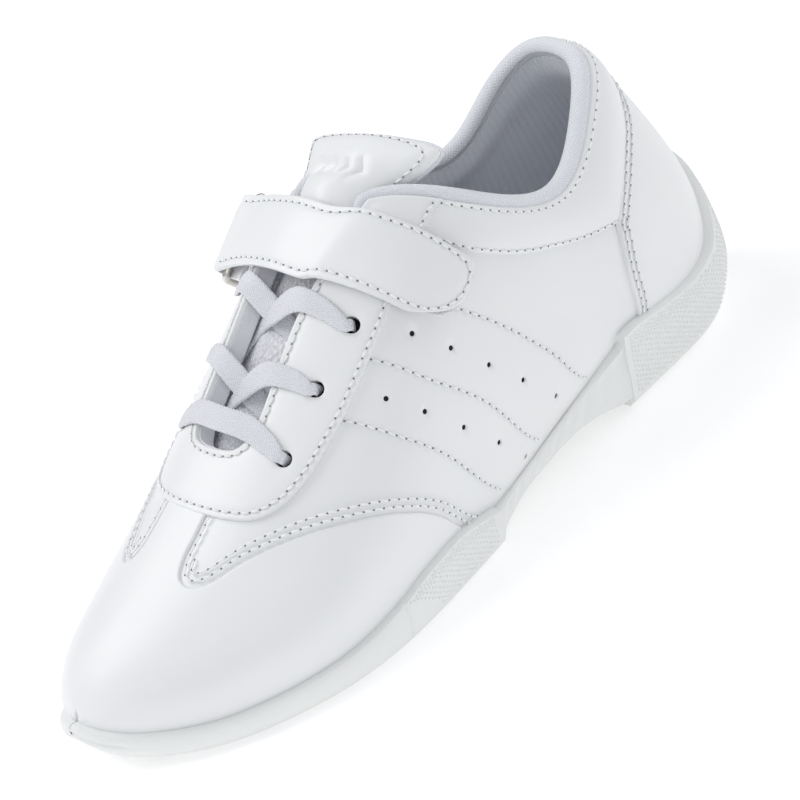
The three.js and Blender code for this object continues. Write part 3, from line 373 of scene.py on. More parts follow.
def grid_faces(n, m, wrap_rows=False, wrap_columns=False, flip=False):
    """Quads over n rows of m points."""
    rows = np.arange(n if wrap_rows else n - 1)
    columns = np.arange(m if wrap_columns else m - 1)
    i, j = np.meshgrid(rows, columns, indexing="ij")
    a = i * m + j
    b = i * m + (j + 1) % m
    c = ((i + 1) % n) * m + (j + 1) % m
    d = ((i + 1) % n) * m + j
    quads = np.stack([a, b, c, d], -1).reshape(-1, 4)
    return (quads[:, ::-1] if flip else quads).tolist()


def circle_on(chart, centre, radius, count=16):
    """A small circle on a surface, as chart points."""
    a = np.linspace(0, 2 * np.pi, count, endpoint=False)
    c = np.repeat(np.array([centre], float), count, 0)
    e = 1e-3
    du = (chart.at(c + [e, 0]) - chart.at(c - [e, 0])) / (2 * e)
    dv = (chart.at(c + [0, e]) - chart.at(c - [0, e])) / (2 * e)
    x = unit(du)
    y = unit(np.cross(np.cross(du, dv), x))
    way = x * np.cos(a)[:, None] * radius + y * np.sin(a)[:, None] * radius
    uu, uv, vv = (du * du).sum(1), (du * dv).sum(1), (dv * dv).sum(1)
    det = uu * vv - uv * uv
    wu, wv = (way * du).sum(1), (way * dv).sum(1)
    return c + np.stack([(vv * wu - uv * wv) / det, (uu * wv - uv * wu) / det], -1)


def rim_of(chart, outline, step):
    """A panel's outline as one loop of chart points, turning to the left."""
    rim = np.vstack([respace(chart, curve_on(chart, part), step)[:-1] for part in outline])
    area = np.sum(rim[:, 0] * np.roll(rim[:, 1], -1) - np.roll(rim[:, 0], -1) * rim[:, 1])
    return rim[::-1] if area < 0 else rim


def closed(points):
    """A loop with its first point repeated at the end."""
    return np.vstack([points, points[:1]])


def panel_points(chart, rim, rings, step, roll, lines, holes, hole_roll):
    """Chart points of a panel: rows along its rim, grooves and holes, then an even field."""
    edge3 = closed(chart.at(rim))
    way = inward(chart, rim)
    rows = [d for d in (0.3 * roll, 0.8 * roll, 1.6 * roll) if d > 0.08] + [2.2, 3.4]
    found = []
    for d in rows:
        row = rim + way * d
        ok = inside(row, rim)
        ok[ok] = distance(chart.at(row[ok]), edge3) > 0.93 * d
        found.append(row[ok])
    low, high = rim.min(0), rim.max(0)
    counts = np.maximum(2, ((high - low) * chart.scale / step).astype(int))
    u, v = np.meshgrid(*(np.linspace(low[k], high[k], counts[k]) for k in range(2)), indexing="ij")
    u[:, 1::2] += (high[0] - low[0]) / counts[0] / 2
    field = np.stack([u.ravel(), v.ravel()], -1)
    field = field[inside(field, rim)]
    field = field[distance(chart.at(field), edge3) > rows[-1] + 0.5 * step]
    for line in lines:
        field = field[distance(chart.at(field), chart.at(line)) > 1.6]
        for d in (-0.8, 0, 0.8):
            row = beside(chart, respace(chart, line, 1.2), d)
            ok = inside(row, rim)
            ok[ok] = distance(chart.at(row[ok]), edge3) > max(0.9, 2 * roll)
            found.append(row[ok])
    for centre, radius in holes:
        centre3 = chart.at(np.array([centre]))[0]
        field = field[np.linalg.norm(chart.at(field) - centre3, axis=1) > radius + 0.9]
        found = [f[np.linalg.norm(chart.at(f) - centre3, axis=1) > radius + 0.7] for f in found]
        found.append(circle_on(chart, centre, radius + hole_roll * 1.2))
    return np.vstack([rim, *rings, *found, field])


def panel_triangles(chart, rim, rings, points):
    """Chart points and triangles of a panel, with its holes left open."""
    edges, start = [], 0
    for loop in [rim, *rings]:
        n = len(loop)
        edges += [(start + i, start + (i + 1) % n) for i in range(n)]
        start += n
    flat = [Vector(p) for p in points * chart.scale]
    verts, _, faces, _, _, _ = geometry.delaunay_2d_cdt(flat, edges, [], 0, 1e-5)
    uv = np.array([tuple(v) for v in verts]) / chart.scale
    faces = np.array(faces)
    middle = uv[faces].mean(1)
    keep = inside(middle, rim)
    for ring in rings:
        keep &= ~inside(middle, ring)
    return uv, faces[keep]


def fallen(d, reach):
    """Share of its height that a round edge has lost d from the rim."""
    return 1 - np.sqrt(np.clip(1 - (1 - np.clip(d / reach, 0, 1)) ** 2, 0, 1))


def panel_heights(chart, uv, rim, rings, low, high, roll, puff, grooves, hole_roll):
    """Height of a panel's outer face: rolled rim, padding, sewn grooves and pressed holes."""
    base = chart.at(uv)
    d = distance(base, closed(chart.at(rim)))
    sign = 1.0 if high > low else -1.0
    h = float(high) - sign * roll * fallen(d, roll)
    if puff is not None:
        h += sign * puff(uv, d)
    for line, depth, width in grooves:
        h -= sign * depth * np.exp(-((distance(base, chart.at(np.array(line))) / width) ** 2))
    for ring in rings:
        e = distance(base, closed(chart.at(ring)))
        h -= sign * hole_roll * (1 - np.clip(e / hole_roll, 0, 1)) ** 2
    return h


def panel(name, body, nodes, chart, outline, low, high, material, step=1.7, roll=ROLL,
          grooves=(), puff=None, holes=(), hole_roll=0.25, edge_step=1.0, under=None):
    """A cut panel between two heights off a chart, closed all round its rim and its holes."""
    rim = rim_of(chart, outline, edge_step)
    rings = [circle_on(chart, centre, radius) for centre, radius in holes]
    lines = [np.array(line) for line, _, _ in grooves]
    points = panel_points(chart, rim, rings, step, roll, lines, holes, hole_roll)
    uv, faces = panel_triangles(chart, rim, rings, points)
    base, normal = chart.at(uv), chart.normal(uv)
    high_at = panel_heights(chart, uv, rim, rings, low, high, roll, puff, grooves, hole_roll)
    low_at = np.full(len(base), float(low)) if under is None else under(uv)
    top = base + normal * high_at[:, None]
    bottom = base + normal * low_at[:, None]
    tri = top[faces]
    facing = np.cross(tri[:, 1] - tri[:, 0], tri[:, 2] - tri[:, 0]) * normal[faces[:, 0]]
    if np.median(facing.sum(1) * (1 if high > low else -1)) < 0:
        faces = faces[:, ::-1]
    count = len(base)
    edges = np.vstack([faces[:, [0, 1]], faces[:, [1, 2]], faces[:, [2, 0]]])
    have = {tuple(e) for e in edges.tolist()}
    border = [e for e in have if (e[1], e[0]) not in have]
    all_faces = faces.tolist() + (faces[:, ::-1] + count).tolist()
    all_faces += [[b, a, a + count, b + count] for a, b in sorted(border)]
    used = np.unique(faces)
    index = np.full(2 * count, -1)
    index[used] = np.arange(len(used))
    index[used + count] = np.arange(len(used)) + len(used)
    both = np.vstack([uv[used], uv[used]]) * chart.scale / UV_UNIT
    obj = mesh_piece(name, body, np.vstack([top[used], bottom[used]]),
                     [[index[i] for i in f] for f in all_faces], material, both)
    if nodes:
        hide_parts(*nodes)
    return obj


def tube(name, body, path, radius, material, sides=12, loop=False, up=None):
    """A round bar along a path of points."""
    path = np.asarray(path, float)
    n = len(path)
    way = np.roll(path, -1, 0) - np.roll(path, 1, 0)
    if not loop:
        way[0], way[-1] = path[1] - path[0], path[-1] - path[-2]
    way = unit(way)
    ref = np.broadcast_to(np.array([0, 0, 1.0]) if up is None else up, path.shape)
    across = unit(np.cross(way, ref))
    over = np.cross(across, way)
    r = np.broadcast_to(np.asarray(radius, float), (n,))
    a = np.linspace(0, 2 * np.pi, sides, endpoint=False)
    ring = across[:, None] * np.cos(a)[None, :, None] + over[:, None] * np.sin(a)[None, :, None]
    points = path[:, None] + ring * r[:, None, None]
    faces = grid_faces(n, sides, wrap_rows=loop, wrap_columns=True)
    points = points.reshape(-1, 3)
    if not loop:
        points = np.vstack([points, path[:1], path[-1:]])
        last = (n - 1) * sides
        faces += [[(j + 1) % sides, j, n * sides] for j in range(sides)]
        faces += [[last + j, last + (j + 1) % sides, n * sides + 1] for j in range(sides)]
    s = lengths(path) / UV_UNIT
    uv = np.stack(np.broadcast_arrays(s[:, None], a[None] * np.mean(r) / UV_UNIT), -1).reshape(-1, 2)
    if not loop:
        uv = np.vstack([uv, uv[:1], uv[-1:]])
    return mesh_piece(name, body, points, faces, material, uv)


# ---------------------------------------------------------------- sewing
SIDES = 6               # corners of a thread's section and of a needle hole
SPIN = np.linspace(0, 2 * np.pi, SIDES, endpoint=False)
SWELL = np.array([0.35, 0.85, 1.0, 1.05, 1.0, 0.85, 0.35])      # thread thickness along a stitch


def along_seam(at, line, normal):
    """Places and outward directions at lengths along a seam."""
    s = lengths(line)
    spots, out = (np.stack([np.interp(at, s, x[:, k]) for k in range(3)], -1) for x in (line, normal))
    return spots, unit(out)


def stitch_loops(line, normal, n, pitch):
    """Points of n raised loops of thread, one to each stitch."""
    x = np.linspace(0, 1, len(SWELL))
    at = (np.arange(n)[:, None] + 0.5 + (x - 0.5)[None] * 0.8) * pitch
    at = at + rng.uniform(-0.06, 0.06, (n, 1)) * pitch
    spots, out = along_seam(at, line, normal)
    spots = spots + out * (THREAD * (-0.55 + 1.25 * np.sin(np.pi * x) ** 0.6))[None, :, None]
    way = unit(np.gradient(spots, axis=1))
    side = unit(np.cross(way, out))
    spots = spots + side * ((x - 0.5) * 0.35)[None, :, None]
    up = np.cross(side, way)
    ring = side[:, :, None] * np.cos(SPIN)[:, None] + up[:, :, None] * np.sin(SPIN)[:, None] * 0.85
    return spots[:, :, None] + ring * (THREAD * SWELL)[None, :, None, None]


def needle_holes(line, normal, n, pitch):
    """Points of the small dark ovals where the thread goes down, one between stitches; their darkness is
    painted shade.
    """
    spots, out = along_seam(np.arange(n + 1) * pitch, line, normal)
    way = unit(np.gradient(spots, axis=0)) if n > 1 else unit(np.repeat(line[-1:] - line[:1], n + 1, 0))
    side = np.cross(way, out)
    oval = way[:, None] * np.cos(SPIN)[:, None] * 0.36 + side[:, None] * np.sin(SPIN)[:, None] * 0.3
    return spots[:, None] + (oval + out[:, None] * 0.05)


def sew(name, body, lines, material, hole_shade_material):
    """Thread along seams of (points, normals): one raised loop per stitch, and dark ovals at its needle
    holes, which are painted shade.
    """
    points, faces, marks = [], [], []
    count, ring_count = 0, len(SWELL)
    loop_faces = grid_faces(ring_count, SIDES, wrap_columns=True, flip=True)
    loop_faces += [list(range(SIDES)), list(range((ring_count - 1) * SIDES, ring_count * SIDES))[::-1]]
    for line, normal in lines:
        long = lengths(line)[-1]
        n = max(1, int(long / STITCH))
        points.append(stitch_loops(line, normal, n, long / n).reshape(-1, 3))
        for _ in range(n):
            faces += [[count + i for i in f] for f in loop_faces]
            count += ring_count * SIDES
        # Ovals at the needle holes, given painted shade by the second material.
        points.append(needle_holes(line, normal, n, long / n).reshape(-1, 3))
        for _ in range(n + 1):
            faces.append([count + j for j in range(SIDES)][::-1])
            count += SIDES
        marks += [0] * (len(loop_faces) * n) + [1] * (n + 1)
    obj = mesh_piece(name, body, np.vstack(points), faces, material, extra=(hole_shade_material,), marks=marks,
                     sharp=80)
    return obj


def seam_line(chart, points, height, smooth=True):
    """A seam as points and outward directions, at a height off the chart."""
    line = respace(chart, curve_on(chart, points) if smooth else np.array(points, float), 0.8)
    normal = chart.normal(line)
    h = height(line) if callable(height) else height
    return chart.at(line) + normal * np.reshape(h, (-1, 1)), normal


# ---------------------------------------------------------------- shader node groups
def new_group(name, inputs, outputs):
    """An empty shader group with its named sockets."""
    tree = bpy.data.node_groups.new(name, "ShaderNodeTree")
    for label, kind, value in inputs:
        socket = tree.interface.new_socket(name=label, in_out="INPUT", socket_type=kind)
        if value is not None:
            socket.default_value = value
    for label, kind in outputs:
        tree.interface.new_socket(name=label, in_out="OUTPUT", socket_type=kind)
    return tree, tree.nodes.new("NodeGroupInput"), tree.nodes.new("NodeGroupOutput")


def node(tree, kind, settings=(), **inputs):
    """A shader node. Inputs are values or output sockets; settings are its own properties."""
    n = tree.nodes.new(kind)
    for key, value in settings:
        setattr(n, key, value)
    for key, value in inputs.items():
        numbered = key[0] == "i" and key[1:].isdigit()
        socket = n.inputs[int(key[1:])] if numbered else n.inputs[key.replace("_", " ")]
        if isinstance(value, bpy.types.NodeSocket):
            tree.links.new(value, socket)
        else:
            socket.default_value = value
    return n


def math_node(tree, operation, a, b=0.0):
    return node(tree, "ShaderNodeMath", [("operation", operation)], i0=a, i1=b).outputs[0]


def grain_group():
    """Fine pressed grain of coated leather or moulded rubber."""
    tree, start, end = new_group(
        "pressed_grain",
        [("Vector", "NodeSocketVector", None), ("Cells", "NodeSocketFloat", 160.0),
         ("Wrinkle", "NodeSocketFloat", 0.4)],
        [("Height", "NodeSocketFloat")],
    )
    vector, cells, wrinkle = (start.outputs[k] for k in ("Vector", "Cells", "Wrinkle"))
    cell = node(tree, "ShaderNodeTexVoronoi", [("feature", "SMOOTH_F1")], Vector=vector, Scale=cells)
    broad = node(tree, "ShaderNodeTexNoise", Vector=vector, Scale=14.0, Detail=3.0)
    fine = math_node(tree, "MULTIPLY", cell.outputs["Distance"], 0.6)
    wide = math_node(tree, "MULTIPLY", broad.outputs["Fac"], wrinkle)
    tree.links.new(math_node(tree, "ADD", fine, wide), end.inputs["Height"])
    return tree


def tone_group():
    """Slow drift between two close tones, with a small drift of roughness."""
    tree, start, end = new_group(
        "tone_drift",
        [("Vector", "NodeSocketVector", None), ("Light", "NodeSocketColor", (1, 1, 1, 1)),
         ("Dark", "NodeSocketColor", (0.8, 0.8, 0.8, 1)), ("Scale", "NodeSocketFloat", 4.0)],
        [("Color", "NodeSocketColor"), ("Rough", "NodeSocketFloat")],
    )
    cloud = node(tree, "ShaderNodeTexNoise", Vector=start.outputs["Vector"], Scale=start.outputs["Scale"],
                 Detail=5.0)
    ramp = node(tree, "ShaderNodeMapRange", Value=cloud.outputs["Fac"], From_Min=0.3, From_Max=0.7)
    mixed = node(tree, "ShaderNodeMix", [("data_type", "RGBA")], i0=ramp.outputs[0])
    tree.links.new(start.outputs["Dark"], mixed.inputs[6])
    tree.links.new(start.outputs["Light"], mixed.inputs[7])
    tree.links.new(mixed.outputs[2], end.inputs["Color"])
    rough = node(tree, "ShaderNodeMapRange", Value=cloud.outputs["Fac"], To_Min=-0.04, To_Max=0.05)
    tree.links.new(rough.outputs[0], end.inputs["Rough"])
    return tree


def weave_group():
    """Crossing yarns: a diamond weave with a mask of its hollows, where painted shade goes."""
    tree, start, end = new_group(
        "crossed_yarns",
        [("Vector", "NodeSocketVector", None), ("Along", "NodeSocketFloat", 60.0),
         ("Across", "NodeSocketFloat", 60.0)],
        [("Height", "NodeSocketFloat"), ("HollowShade", "NodeSocketFloat")],
    )
    xyz = node(tree, "ShaderNodeSeparateXYZ", Vector=start.outputs["Vector"])
    u = math_node(tree, "MULTIPLY", xyz.outputs[0], start.outputs["Along"])
    v = math_node(tree, "MULTIPLY", xyz.outputs[1], start.outputs["Across"])
    one = math_node(tree, "ABSOLUTE", math_node(tree, "SINE", math_node(tree, "ADD", u, v)))
    two = math_node(tree, "ABSOLUTE", math_node(tree, "SINE", math_node(tree, "SUBTRACT", u, v)))
    deep = math_node(tree, "MINIMUM", one, two)
    tree.links.new(math_node(tree, "SUBTRACT", 1.0, deep), end.inputs["Height"])
    # Mask of the weave's hollows, for painted shade.
    holes = node(tree, "ShaderNodeMapRange", Value=deep, From_Min=0.45, From_Max=0.8)
    tree.links.new(holes.outputs[0], end.inputs["HollowShade"])
    return tree


GRAIN, TONE, WEAVE = grain_group(), tone_group(), weave_group()


def surface(name, light, dark, rough, cells=160.0, depth=0.04, strength=0.3, weave=None, hollow_shade_tone=0.6,
            metallic=0.0, coat=0.0, sheen=0.0, specular=0.5, object_space=False):
    """A finish: drifting tone, pressed grain or crossed yarns with painted shade in their hollows, and its
    own gloss.
    """
    material = bpy.data.materials.new(name)
    material.use_nodes = True
    tree = material.node_tree
    shader = tree.nodes["Principled BSDF"]
    where = node(tree, "ShaderNodeTexCoord")
    vector = where.outputs["Object" if object_space else "UV"]
    if object_space:
        scaled = node(tree, "ShaderNodeVectorMath", [("operation", "SCALE")], i0=vector, Scale=10.0)
        vector = scaled.outputs[0]
    tone = node(tree, "ShaderNodeGroup", [("node_tree", TONE)], Vector=vector, Light=(*light, 1),
                Dark=(*dark, 1))
    color = tone.outputs["Color"]
    if weave:
        relief = node(tree, "ShaderNodeGroup", [("node_tree", WEAVE)], Vector=vector, Along=weave[0],
                      Across=weave[1])
        # Colour darkened in the weave's hollows: painted shade.
        hollow_shade_mix = node(tree, "ShaderNodeMix", [("data_type", "RGBA"), ("blend_type", "MULTIPLY")],
                    i0=relief.outputs["HollowShade"])
        tree.links.new(color, hollow_shade_mix.inputs[6])
        hollow_shade_mix.inputs[7].default_value = (hollow_shade_tone, hollow_shade_tone, hollow_shade_tone * 1.02, 1)
        color = hollow_shade_mix.outputs[2]
    else:
        relief = node(tree, "ShaderNodeGroup", [("node_tree", GRAIN)], Vector=vector, Cells=cells)
    bump = node(tree, "ShaderNodeBump", Height=relief.outputs["Height"], Distance=depth * MM,
                Strength=strength)
    tree.links.new(color, shader.inputs["Base Color"])
    tree.links.new(bump.outputs[0], shader.inputs["Normal"])
    tree.links.new(math_node(tree, "ADD", tone.outputs["Rough"], rough), shader.inputs["Roughness"])
    shader.inputs["Metallic"].default_value = metallic
    shader.inputs["Coat Weight"].default_value = coat
    shader.inputs["Sheen Weight"].default_value = sheen
    shader.inputs["Specular IOR Level"].default_value = specular
    return material


leather = surface(
    "coated_leather", (0.86, 0.868, 0.875), (0.84, 0.848, 0.857), 0.4, depth=0.05, strength=0.22, coat=0.03)
rubber = surface(
    "white_rubber", (0.85, 0.86, 0.852), (0.825, 0.835, 0.828), 0.52, cells=110, depth=0.08, specular=0.35)
thread = surface("sewing_thread", (0.92, 0.925, 0.93), (0.88, 0.885, 0.89), 0.6, cells=500, sheen=0.2)
# Dark grey ovals at the needle holes: painted shade in the holes.
needle_hole_shade = surface("needle_hole_shade", (0.2, 0.2, 0.21), (0.16, 0.16, 0.17), 0.8)
# Near-black: painted shade inside the vents and eyelets.
hole_shade_black = surface(
    "hole_shade_black", (0.012, 0.012, 0.016), (0.006, 0.006, 0.009), 0.9, object_space=True)
knit = surface(
    "binding_knit", (0.89, 0.9, 0.94), (0.86, 0.87, 0.92), 0.85,
    weave=(260.0, 300.0), hollow_shade_tone=0.86, depth=0.25, strength=0.7, sheen=0.3)
lining_knit = surface(
    "lining_knit", (0.84, 0.86, 0.91), (0.8, 0.82, 0.88), 0.88,
    weave=(300.0, 330.0), hollow_shade_tone=0.88, depth=0.2, strength=0.6, sheen=0.25)
mesh_yarn = surface(
    "tongue_mesh_yarn", (0.93, 0.935, 0.955), (0.9, 0.905, 0.935), 0.8,
    weave=(900.0, 900.0), hollow_shade_tone=0.9, depth=0.05, strength=0.4, sheen=0.25)
lace_yarn = surface(
    "lace_yarn", (0.91, 0.918, 0.96), (0.88, 0.89, 0.94), 0.75,
    weave=(260.0, 420.0), hollow_shade_tone=0.82, depth=0.22, strength=0.8, sheen=0.25)
foam_grey = surface(
    "foam_grey", (0.55, 0.56, 0.58), (0.47, 0.48, 0.5), 0.95, cells=260, depth=0.2, strength=0.6)
foam_edge = surface(
    "foam_edge", (0.83, 0.84, 0.87), (0.76, 0.77, 0.8), 0.95, cells=260, depth=0.2, strength=0.6)
hook_tape = surface(
    "hook_tape", (0.86, 0.86, 0.87), (0.8, 0.8, 0.82), 0.95,
    weave=(380.0, 380.0), hollow_shade_tone=0.75, depth=0.3, strength=0.8)
nickel = surface(
    "nickel_wire", (0.78, 0.75, 0.7), (0.66, 0.63, 0.59), 0.24, cells=80, depth=0.01, metallic=1.0)
insole_cloth = surface(
    "insole_cloth", (0.74, 0.76, 0.79), (0.69, 0.71, 0.75), 0.9,
    weave=(240.0, 240.0), hollow_shade_tone=0.85, depth=0.2, strength=0.5)
board_fibre = surface(
    "board_fibre", (0.5, 0.43, 0.33), (0.42, 0.36, 0.27), 0.9, cells=60, object_space=True)
foam_hidden = surface(
    "foam_hidden", (0.7, 0.71, 0.72), (0.62, 0.63, 0.64), 0.95, cells=120, object_space=True)
shank_metal = surface(
    "shank_metal", (0.5, 0.5, 0.51), (0.4, 0.4, 0.41), 0.4, metallic=1.0, object_space=True)


# ---------------------------------------------------------------- seams of the upper
# Over the crest as (p, v); round the heel as (p, t).
WING = [(5.42, 0.985), (5.7, 0.935), (5.88, 0.85), (6.12, 0.74), (6.5, 0.64), (6.98, 0.53), (7.49, 0.425),
        (8.12, 0.315), (8.5, 0.26), (8.64, 0.2), (8.61, 0.145), (8.45, 0.115), (8.2, 0.105), (8.01, 0.1),
        (7.6, 0.1)]
STAY_OUTER = [(4.36, 0.03), (4.55, 0.11), (4.74, 0.19), (5.05, 0.265), (5.48, 0.34), (5.9, 0.365),
              (6.46, 0.37), (6.78, 0.36), (7.14, 0.345), (7.49, 0.315), (7.75, 0.265), (7.91, 0.19),
              (8.01, 0.09), (8.04, 0)]
STAY_INNER = [(5.0, 0.03), (5.17, 0.07), (5.35, 0.11), (5.6, 0.13), (5.9, 0.14), (6.2, 0.14), (6.5, 0.14),
              (7, 0.14), (7.18, 0.132), (7.3, 0.115), (7.38, 0.09), (7.43, 0.05), (7.45, 0)]
COUNTER_FRONT = [(2.83, 0.015), (2.8, 0.2), (2.76, 0.38), (2.62, 0.59)]
COUNTER_TOP = [(2.62, 0.59), (2.4, 0.67), (2.04, 0.745), (1.5, 0.79), (0.96, 0.83), (0, 0.86)]
COLLAR_SEAM = [(2.6, 0.58), (2.8, 0.625), (3, 0.665), (3.2, 0.7), (3.45, 0.73), (3.75, 0.738), (4.1, 0.746),
               (4.4, 0.758), (4.75, 0.8)]
COLLAR_HIDDEN = [(0, 0.82), (0.96, 0.8), (1.5, 0.76), (2.04, 0.71), (2.4, 0.635), (2.6, 0.58)]
EYELETS = [(5.86, 0.715), (6.49, 0.73), (7.14, 0.74)]
STRIPES = [
    [(4.98, 0.38), (4.41, 0.51), (3.98, 0.675), (3.57, 0.9)],
    [(5.91, 0.37), (5.48, 0.51), (4.9, 0.66), (4.375, 0.9)],
    [(6.48, 0.375), (6.11, 0.525), (5.6, 0.69), (5.08, 0.9)],
]
VENTS = [
    [(5.38, 0.415), (5.05, 0.5), (4.71, 0.59), (4.39, 0.685), (4.05, 0.805)],
    [(6.01, 0.45), (5.7, 0.55), (5.33, 0.65), (4.96, 0.745), (4.59, 0.905)],
]
COLLAR_LINE = 0.972     # top edge of the collar leather, as a height up the side


def there_and_back(points):
    """A line to the crest and down the inner side."""
    return points + [(p, -v) for p, v in reversed(points[:-1])]


def over_side(points, side):
    """A line of the outer side, or the same line on the inner side."""
    return [(p, side * v) for p, v in points]


def eyelet_holes(sides):
    """Centres and radii of the eyelets on the given sides."""
    return [((p, side * (1 - t)), EYELET_DIAMETER / 2) for p, t in EYELETS for side in sides]


# ---------------------------------------------------------------- leather upper
VAMP_LOW, VAMP_TOP = 0.1, 1.15
QUARTER_LOW, QUARTER_TOP = -LEATHER, 0.0
COLLAR_LOW, COLLAR_TOP = -0.6, 0.7
COUNTER_LOW, COUNTER_HIGH = 0.1, 1.5


def edge_rows(chart, points, offsets, depth=0.28):
    """Stitch lines that follow an edge, as chart lines and as grooves."""
    line = respace(chart, curve_on(chart, points), 1.0)
    rows = [beside(chart, line, d) for d in offsets]
    return rows, [(row[::2], depth, 0.9) for row in rows]


def build_vamp():
    """Toe leather with its winged edge and double seam."""
    outline = [
        [(5.42, 0.985), (8, 0.985), (10.97, 0.985)],
        [(10.97, 0.985), (10.97, 0), (10.97, -0.985)],
        [(10.97, -0.985), (8, -0.985), (5.42, -0.985)],
        over_side(WING, -1),
        [(7.6, -0.1), (7.6, 0.1)],
        WING[::-1],
    ]
    rows, grooves = [], []
    for side in (1, -1):
        line = over_side(WING, side)
        r, g = edge_rows(OVER, line, [side * -GUIDE, side * -(GUIDE + TWIN)])
        rows += [r[0][4:-6], r[1][5:-26]]
        grooves += g
    panel("toe_vamp_leather", "shoe", ["toe_vamp"], OVER, outline, VAMP_LOW, VAMP_TOP, leather,
          step=2.0, grooves=grooves)
    return [seam_line(OVER, r, VAMP_TOP - 0.08, smooth=False) for r in rows]


def build_quarter(side, node_name):
    """Side leather with three sewn lines and two rows of vents between them."""
    front = [(5.6, 0.985), (5.88, 0.935), (6.06, 0.85), (6.3, 0.74), (6.68, 0.64), (7.16, 0.53),
             (7.67, 0.425), (8.25, 0.33), (8.62, 0.27), (8.78, 0.2), (8.7, 0.13), (8.6, 0.085)]
    outline = [
        [(2.6, 0.985), (4, 0.985), (5.6, 0.985)],
        front,
        [(8.6, 0.085), (7.6, 0.085)],
        [(7.6, 0.085), (7.48, 0.12), (7.25, 0.135), (6.4, 0.145), (5.6, 0.137), (5.33, 0.105),
         (5.12, 0.06)],
        [(5.12, 0.06), (4.55, 0.06)],
        [(4.55, 0.06), (4.66, 0.18), (4.4, 0.225), (4.1, 0.24), (3.75, 0.245), (3.45, 0.25), (3.2, 0.28),
         (3, 0.315), (2.62, 0.4)],
        [(2.62, 0.4), (2.6, 0.7), (2.6, 0.985)],
    ]
    outline = [over_side(part, side) for part in outline]
    lines = [over_side(line, side) for line in STRIPES]
    grooves = [(respace(OVER, curve_on(OVER, line), 1.5), 0.42, 1.0) for line in lines]
    vents = [((p, side * v), PERFORATION) for row in VENTS for p, v in row]

    def bands(uv, d):
        """The leather stands a little proud away from its edge."""
        return 0.25 * np.clip(d / 6, 0, 1)

    panel("quarter_leather_" + node_name, "shoe", ["quarter_" + node_name], OVER, outline, QUARTER_LOW,
          QUARTER_TOP, leather, step=1.9, grooves=grooves, puff=bands,
          holes=vents + eyelet_holes([side]))
    return [seam_line(OVER, line, QUARTER_TOP + 0.08) for line in lines]


def build_counter():
    """Heel leather with a double seam."""
    outline = [
        [(-2.83, 0.015), (0, 0.015), (2.83, 0.015)],
        COUNTER_FRONT,
        COUNTER_TOP + [(-p, t) for p, t in reversed(COUNTER_TOP[:-1])],
        [(-p, t) for p, t in reversed(COUNTER_FRONT)],
    ]
    rows, grooves = [], []
    for part in outline[1:]:
        r, g = edge_rows(AROUND, part, [GUIDE - 0.2, GUIDE + TWIN - 0.2])
        rows += r
        grooves += g
    panel("heel_counter_leather", "shoe", ["heel_counter_panel"], AROUND, outline, COUNTER_LOW,
          COUNTER_HIGH, leather, step=2.0, grooves=grooves)
    return [seam_line(AROUND, r, COUNTER_HIGH, smooth=False) for r in rows]


def build_collar(side, node_name):
    """Padded leather round the ankle."""
    hidden = np.array(COLLAR_HIDDEN + COLLAR_SEAM[1:])

    def turn(points):
        return [(side * p, t) for p, t in points]

    outline = [
        turn(COLLAR_HIDDEN),
        turn(COLLAR_SEAM),
        turn([(4.75, 0.8), (4.68, 0.88), (4.55, COLLAR_LINE)]),
        turn([(4.55, COLLAR_LINE), (2, COLLAR_LINE), (0, COLLAR_LINE)]),
        [(0, COLLAR_LINE), (0, 0.82)],
    ]

    def padding(uv, d):
        """Foam under the leather, full at the ankle and flat at the front."""
        low = np.interp(np.abs(uv[:, 0]), hidden[:, 0], hidden[:, 1])
        s = (uv[:, 1] - low) / (COLLAR_LINE - low)
        front = np.clip((4.75 - np.abs(uv[:, 0])) / 0.6, 0, 1)
        return 1.9 * np.sin(np.pi * np.clip(s, 0, 1)) ** 0.7 * front

    rows, grooves = edge_rows(AROUND, turn(COLLAR_SEAM), [side * 0.9], 0.2)
    pad = panel("collar_leather_" + node_name, "shoe", ["collar_panel_" + node_name], AROUND, outline,
                COLLAR_LOW, COLLAR_TOP, leather, step=1.9, roll=0.9, puff=padding,
                grooves=grooves)
    lower = seam_line(AROUND, rows[0], lambda line: COLLAR_TOP - 0.05 + padding(line, None),
                      smooth=False)
    upper = seam_line(AROUND, turn([(p, COLLAR_LINE - 0.022) for p in (0.05, 1, 2, 3, 4.4)]),
                      lambda line: COLLAR_TOP + 0.05 + padding(line, None))
    return [lower, upper]


def build_eyestay():
    """Leather round the throat, punched for the lace."""
    outer = there_and_back(STAY_OUTER)
    inner = there_and_back(STAY_INNER)
    outline = [outer, [outer[-1], inner[-1]], inner[::-1], [inner[0], outer[0]]]
    rows, grooves = [], []
    for line, d in ((outer, GUIDE), (inner, -GUIDE)):
        r, g = edge_rows(OVER, line, [-d], 0.25)
        rows += [r[0][3:-3]]
        grooves += g
    panel("eyestay_leather", "shoe", ["eyestay"], OVER, outline, STAY_LOW, STAY_TOP + 0.1, leather,
          grooves=grooves, holes=eyelet_holes([1, -1]))
    return [seam_line(OVER, r, STAY_TOP + 0.12, smooth=False) for r in rows]


def build_upper():
    """All the outer leather and its sewing."""
    sewn = {"wing": build_vamp(), "counter": build_counter(), "eyestay": build_eyestay()}
    for side, word in ((1, "lateral"), (-1, "medial")):
        sewn["stripes_" + word] = build_quarter(side, word)
        sewn["collar_" + word] = build_collar(side, word)
    for name, lines in sewn.items():
        sew("thread_" + name, "shoe", lines, thread, needle_hole_shade)


